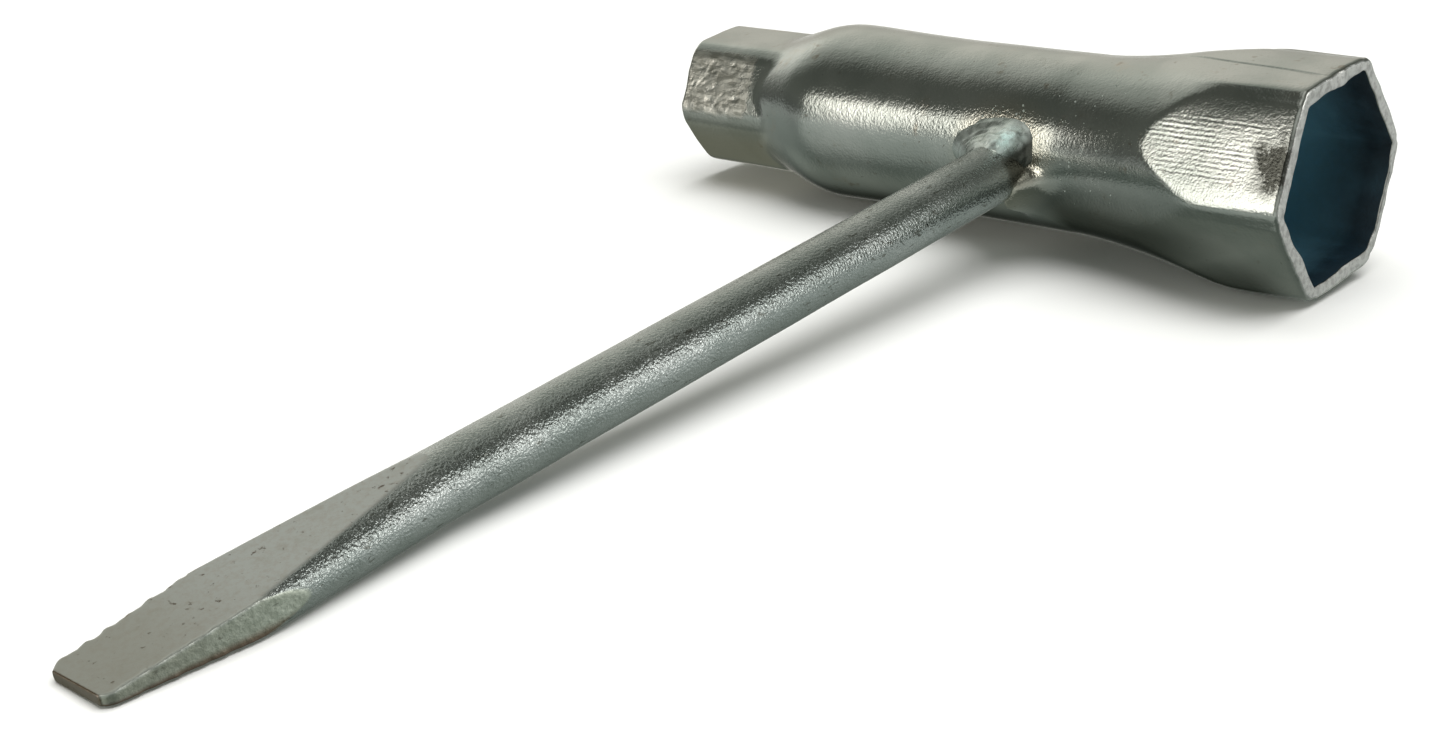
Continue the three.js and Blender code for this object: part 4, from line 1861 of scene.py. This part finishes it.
@dataclass
class Studio:
    """A pale floor, soft light and the camera."""

    eye: Place = (134.41, -182.55, 79.5)
    azimuth: float = 46.557
    elevation: float = 24.33
    roll: float = -8.842
    focal_pixels: float = 2136.15
    image_width: int = 1445
    sensor: float = 36.0
    nearest: float = 0.005
    floor_size: float = 12.0
    floor_colour: Colour = (0.86, 0.86, 0.85)
    floor_roughness: float = 0.9
    floor_gloss: float = 0.1
    sky: tuple[tuple[float, Colour], ...] = (
        (-1.0, (0.15, 0.17, 0.15)),
        (-0.85, (0.112, 0.131, 0.114)),
        (-0.5, (0.11, 0.128, 0.114)),
        (-0.2, (0.18, 0.201, 0.186)),
        (-0.04, (0.31, 0.328, 0.31)),
        (0.06, (0.085, 0.09, 0.082)),
        (0.15, (0.115, 0.123, 0.11)),
        (0.3, (0.12, 0.127, 0.111)),
        (1.0, (0.06, 0.065, 0.056)),
    )
    panels: tuple[SoftPanel, ...] = (
        SoftPanel((-0.773, 0.626, 0.105), 16, 44, (0.41, 0.388, 0.348)),
        SoftPanel((-0.667, 0.269, 0.695), 5, 27, (0.095, 0.1, 0.09)),
        SoftPanel((-0.787, 0.139, 0.602), 2, 24, (0.2, 0.206, 0.19)),
        SoftPanel((-0.347, 0.602, 0.719), 8, 38, (0.195, 0.2, 0.182)),
        SoftPanel((-0.933, 0.25, 0.259), 5, 22, (0.28, 0.29, 0.28)),
        SoftPanel((0.788, 0.615, -0.035), 8, 42, (0.17, 0.18, 0.177)),
        SoftPanel((0.837, 0.483, 0.259), 4, 24, (0.75, 0.75, 0.73)),
        SoftPanel((0.837, 0.483, 0.259), 1.5, 9, (2.3, 2.3, 2.25)),
        SoftPanel((0.168, 0.951, -0.259), 8, 30, (0.14, 0.147, 0.142)),
        SoftPanel((0.47, 0.671, -0.574), 15, 45, (0.115, 0.122, 0.116)),
        SoftPanel((-0.642, -0.022, -0.766), 6, 26, (0.06, 0.062, 0.053)),
        SoftPanel((-0.875, -0.235, -0.423), 8, 28, (0.1, 0.107, 0.1)),
        SoftPanel((-0.136, -0.969, -0.208), 30, 47, (0.21, 0.222, 0.207)),
        SoftPanel((-0.116, 0.659, -0.743), 8, 34, (0.06, 0.064, 0.06)),
        SoftPanel((-0.397, -0.779, 0.485), 4, 10, (0.62, 0.6, 0.555)),
        SoftPanel((0.68, -0.64, 0.36), 10, 40, (0.3, 0.31, 0.295)),
        SoftPanel((0.04, -0.1, 1.0), 6, 33, (0.44, 0.45, 0.425)),
    )
    lamps: tuple[SoftBox, ...] = (
        SoftBox("key_light", (-0.376, -0.875, 0.305), distance=1.4, width=0.79, height=0.6, radiance=1.95,
                colour=(1.0, 0.965, 0.89), mirrored=True, roll=25.0),
        SoftBox("overhead_light", (0.1, 0.2, 1.0), distance=6.4, width=7.2, height=7.2, radiance=3.7,
                colour=(1.0, 1.0, 0.99), mirrored=False),
    )

    def camera(self, tool: ToolFrame) -> None:
        """Puts the camera where the photograph was taken from.

        Args:
            tool: Where the tool lies.
        """
        a, e, r = (math.radians(v) for v in (self.azimuth, self.elevation, self.roll))
        back = np.array([math.sin(a) * math.cos(e), -math.cos(a) * math.cos(e), math.sin(e)])
        level = np.array([math.cos(a), math.sin(a), 0.0])
        right = level * math.cos(r) + np.cross(back, level) * math.sin(r)
        data = bpy.data.cameras.new("camera")
        data.sensor_fit = "HORIZONTAL"
        data.sensor_width = self.sensor
        data.lens = self.sensor * self.focal_pixels / self.image_width
        data.clip_start = self.nearest
        camera = add_object("camera", data)
        axes = np.column_stack([right, np.cross(back, right), back])
        camera.matrix_world = pose(tool.axes @ axes, tool.place(np.array(self.eye)))
        bpy.context.scene.camera = camera

    def floor(self) -> None:
        """Lays a plain pale floor, which the plating doesn't mirror."""
        corners = np.array([(-1, -1, 0), (1, -1, 0), (1, 1, 0), (-1, 1, 0)]) * self.floor_size / 2
        floor = add_mesh("floor", corners, [[0, 1, 2, 3]], {})
        made = Finish("pale_floor", Metallic=0.0, Base_Color=(*self.floor_colour, 1.0),
                      Roughness=self.floor_roughness, Specular_IOR_Level=self.floor_gloss)
        floor.data.materials.append(made.material)
        floor.visible_glossy = False

    def world(self) -> None:
        """Lights the room: a ramp from the ground to the ceiling, with soft panels."""
        world = bpy.data.worlds.new("studio")
        world.use_nodes = True
        bpy.context.scene.world = world
        made = NodeMaker(world.node_tree)
        towards = made.add("ShaderNodeTexCoord").outputs["Generated"]
        height = made.add("ShaderNodeSeparateXYZ", Vector=towards).outputs["Z"]
        sky = made.add("ShaderNodeValToRGB", Fac=made.math("MULTIPLY_ADD", height, 0.5, 0.5))
        stops = sky.color_ramp.elements
        while len(stops) < len(self.sky):
            stops.new(0.5)
        for stop, (place, colour) in zip(stops, self.sky):
            stop.position = place / 2 + 0.5
            stop.color = (*colour, 1.0)
        light = sky.outputs[0]
        adding = {"data_type": "RGBA", "blend_type": "ADD"}
        for panel in self.panels:
            middle = tuple(np.array(panel.towards) / np.linalg.norm(panel.towards))
            facing = made.add("ShaderNodeVectorMath", {"operation": "DOT_PRODUCT"}, i0=towards, i1=middle)
            limits = (math.cos(math.radians(radius)) for radius in (panel.outer, panel.inner))
            share = made.step(facing.outputs["Value"], *limits)
            light = made.add("ShaderNodeMix", adding, i0=share, i6=light, i7=(*panel.light, 1.0)).outputs[2]
        made.add("ShaderNodeOutputWorld", Surface=made.add("ShaderNodeBackground", Color=light).outputs[0])

    def build(self, tool: ToolFrame) -> None:
        """Sets up the whole studio.

        Args:
            tool: Where the tool lies.
        """
        self.camera(tool)
        self.floor()
        self.world()
        for lamp in self.lamps:
            lamp.hang()
        bpy.context.scene.view_settings.view_transform = "Standard"


UPPER_BEAD = WeldBead(
    "upper_weld_bead", "weld_bead_upper", 1,
    turns=(-102, -78, -56, -19, 5, 32, 52, 68, 84),
    rise=(3.4, 4.3, 3.5, 2.3, 2.1, 2.5, 2.5, 2.2, 1.2),
    run=(1.4, 2.2, 2.7, 3.0, 3.2, 3.0, 1.7, 1.0, 0.5),
    crown=(-0.15, -0.3, -0.35, -0.25, -0.15, -0.1, -0.4, -0.4, -0.1),
    lump_turn=24.0,
    lump_share=0.62,
    lump_height=0.85,
    seed=31,
)
LOWER_BEAD = WeldBead(
    "lower_weld_bead", "weld_bead_lower", -1,
    turns=(-100, -80, -62, -44, -28, -14, -2),
    rise=(1.6, 2.8, 2.9, 2.6, 2.2, 1.6, 0.8),
    run=(0.8, 1.8, 2.6, 2.8, 2.6, 1.8, 0.8),
    crown=(0.0, 0.0, 0.2, 0.3, 0.3, 0.2, 0.0),
    lump_turn=-20.0,
    lump_share=0.5,
    lump_height=0.3,
    seed=41,
)


def main() -> None:
    """Builds and dresses the pieces in order, then the studio."""
    logging.basicConfig(level=logging.INFO, format="%(name)s: %(message)s")
    tube = SocketTube()
    rod = DriverRod()
    tool = ToolFrame.from_record(frame["record"], (tube.large_mouth, 0.0, RIM_MOUNT_HEIGHT))
    rows = RowTree()

    piece = tube.build(tool)
    tube.dress(piece, rows)
    report(piece)

    piece = rod.build(tool)
    rod.dress(piece, rows)
    report(piece)

    weld_finish = WeldPlating().material()
    for bead in (UPPER_BEAD, LOWER_BEAD):
        piece = bead.build(tool, tube, rod)
        bead.dress(piece, rows, weld_finish)
        report(piece)

    spatter = WeldSpatter()
    piece = spatter.build(tool, tube)
    spatter.dress(piece, SpeckTree(), weld_finish)
    report(piece)

    Studio().build(tool)


if __name__ == "__main__":
    main()
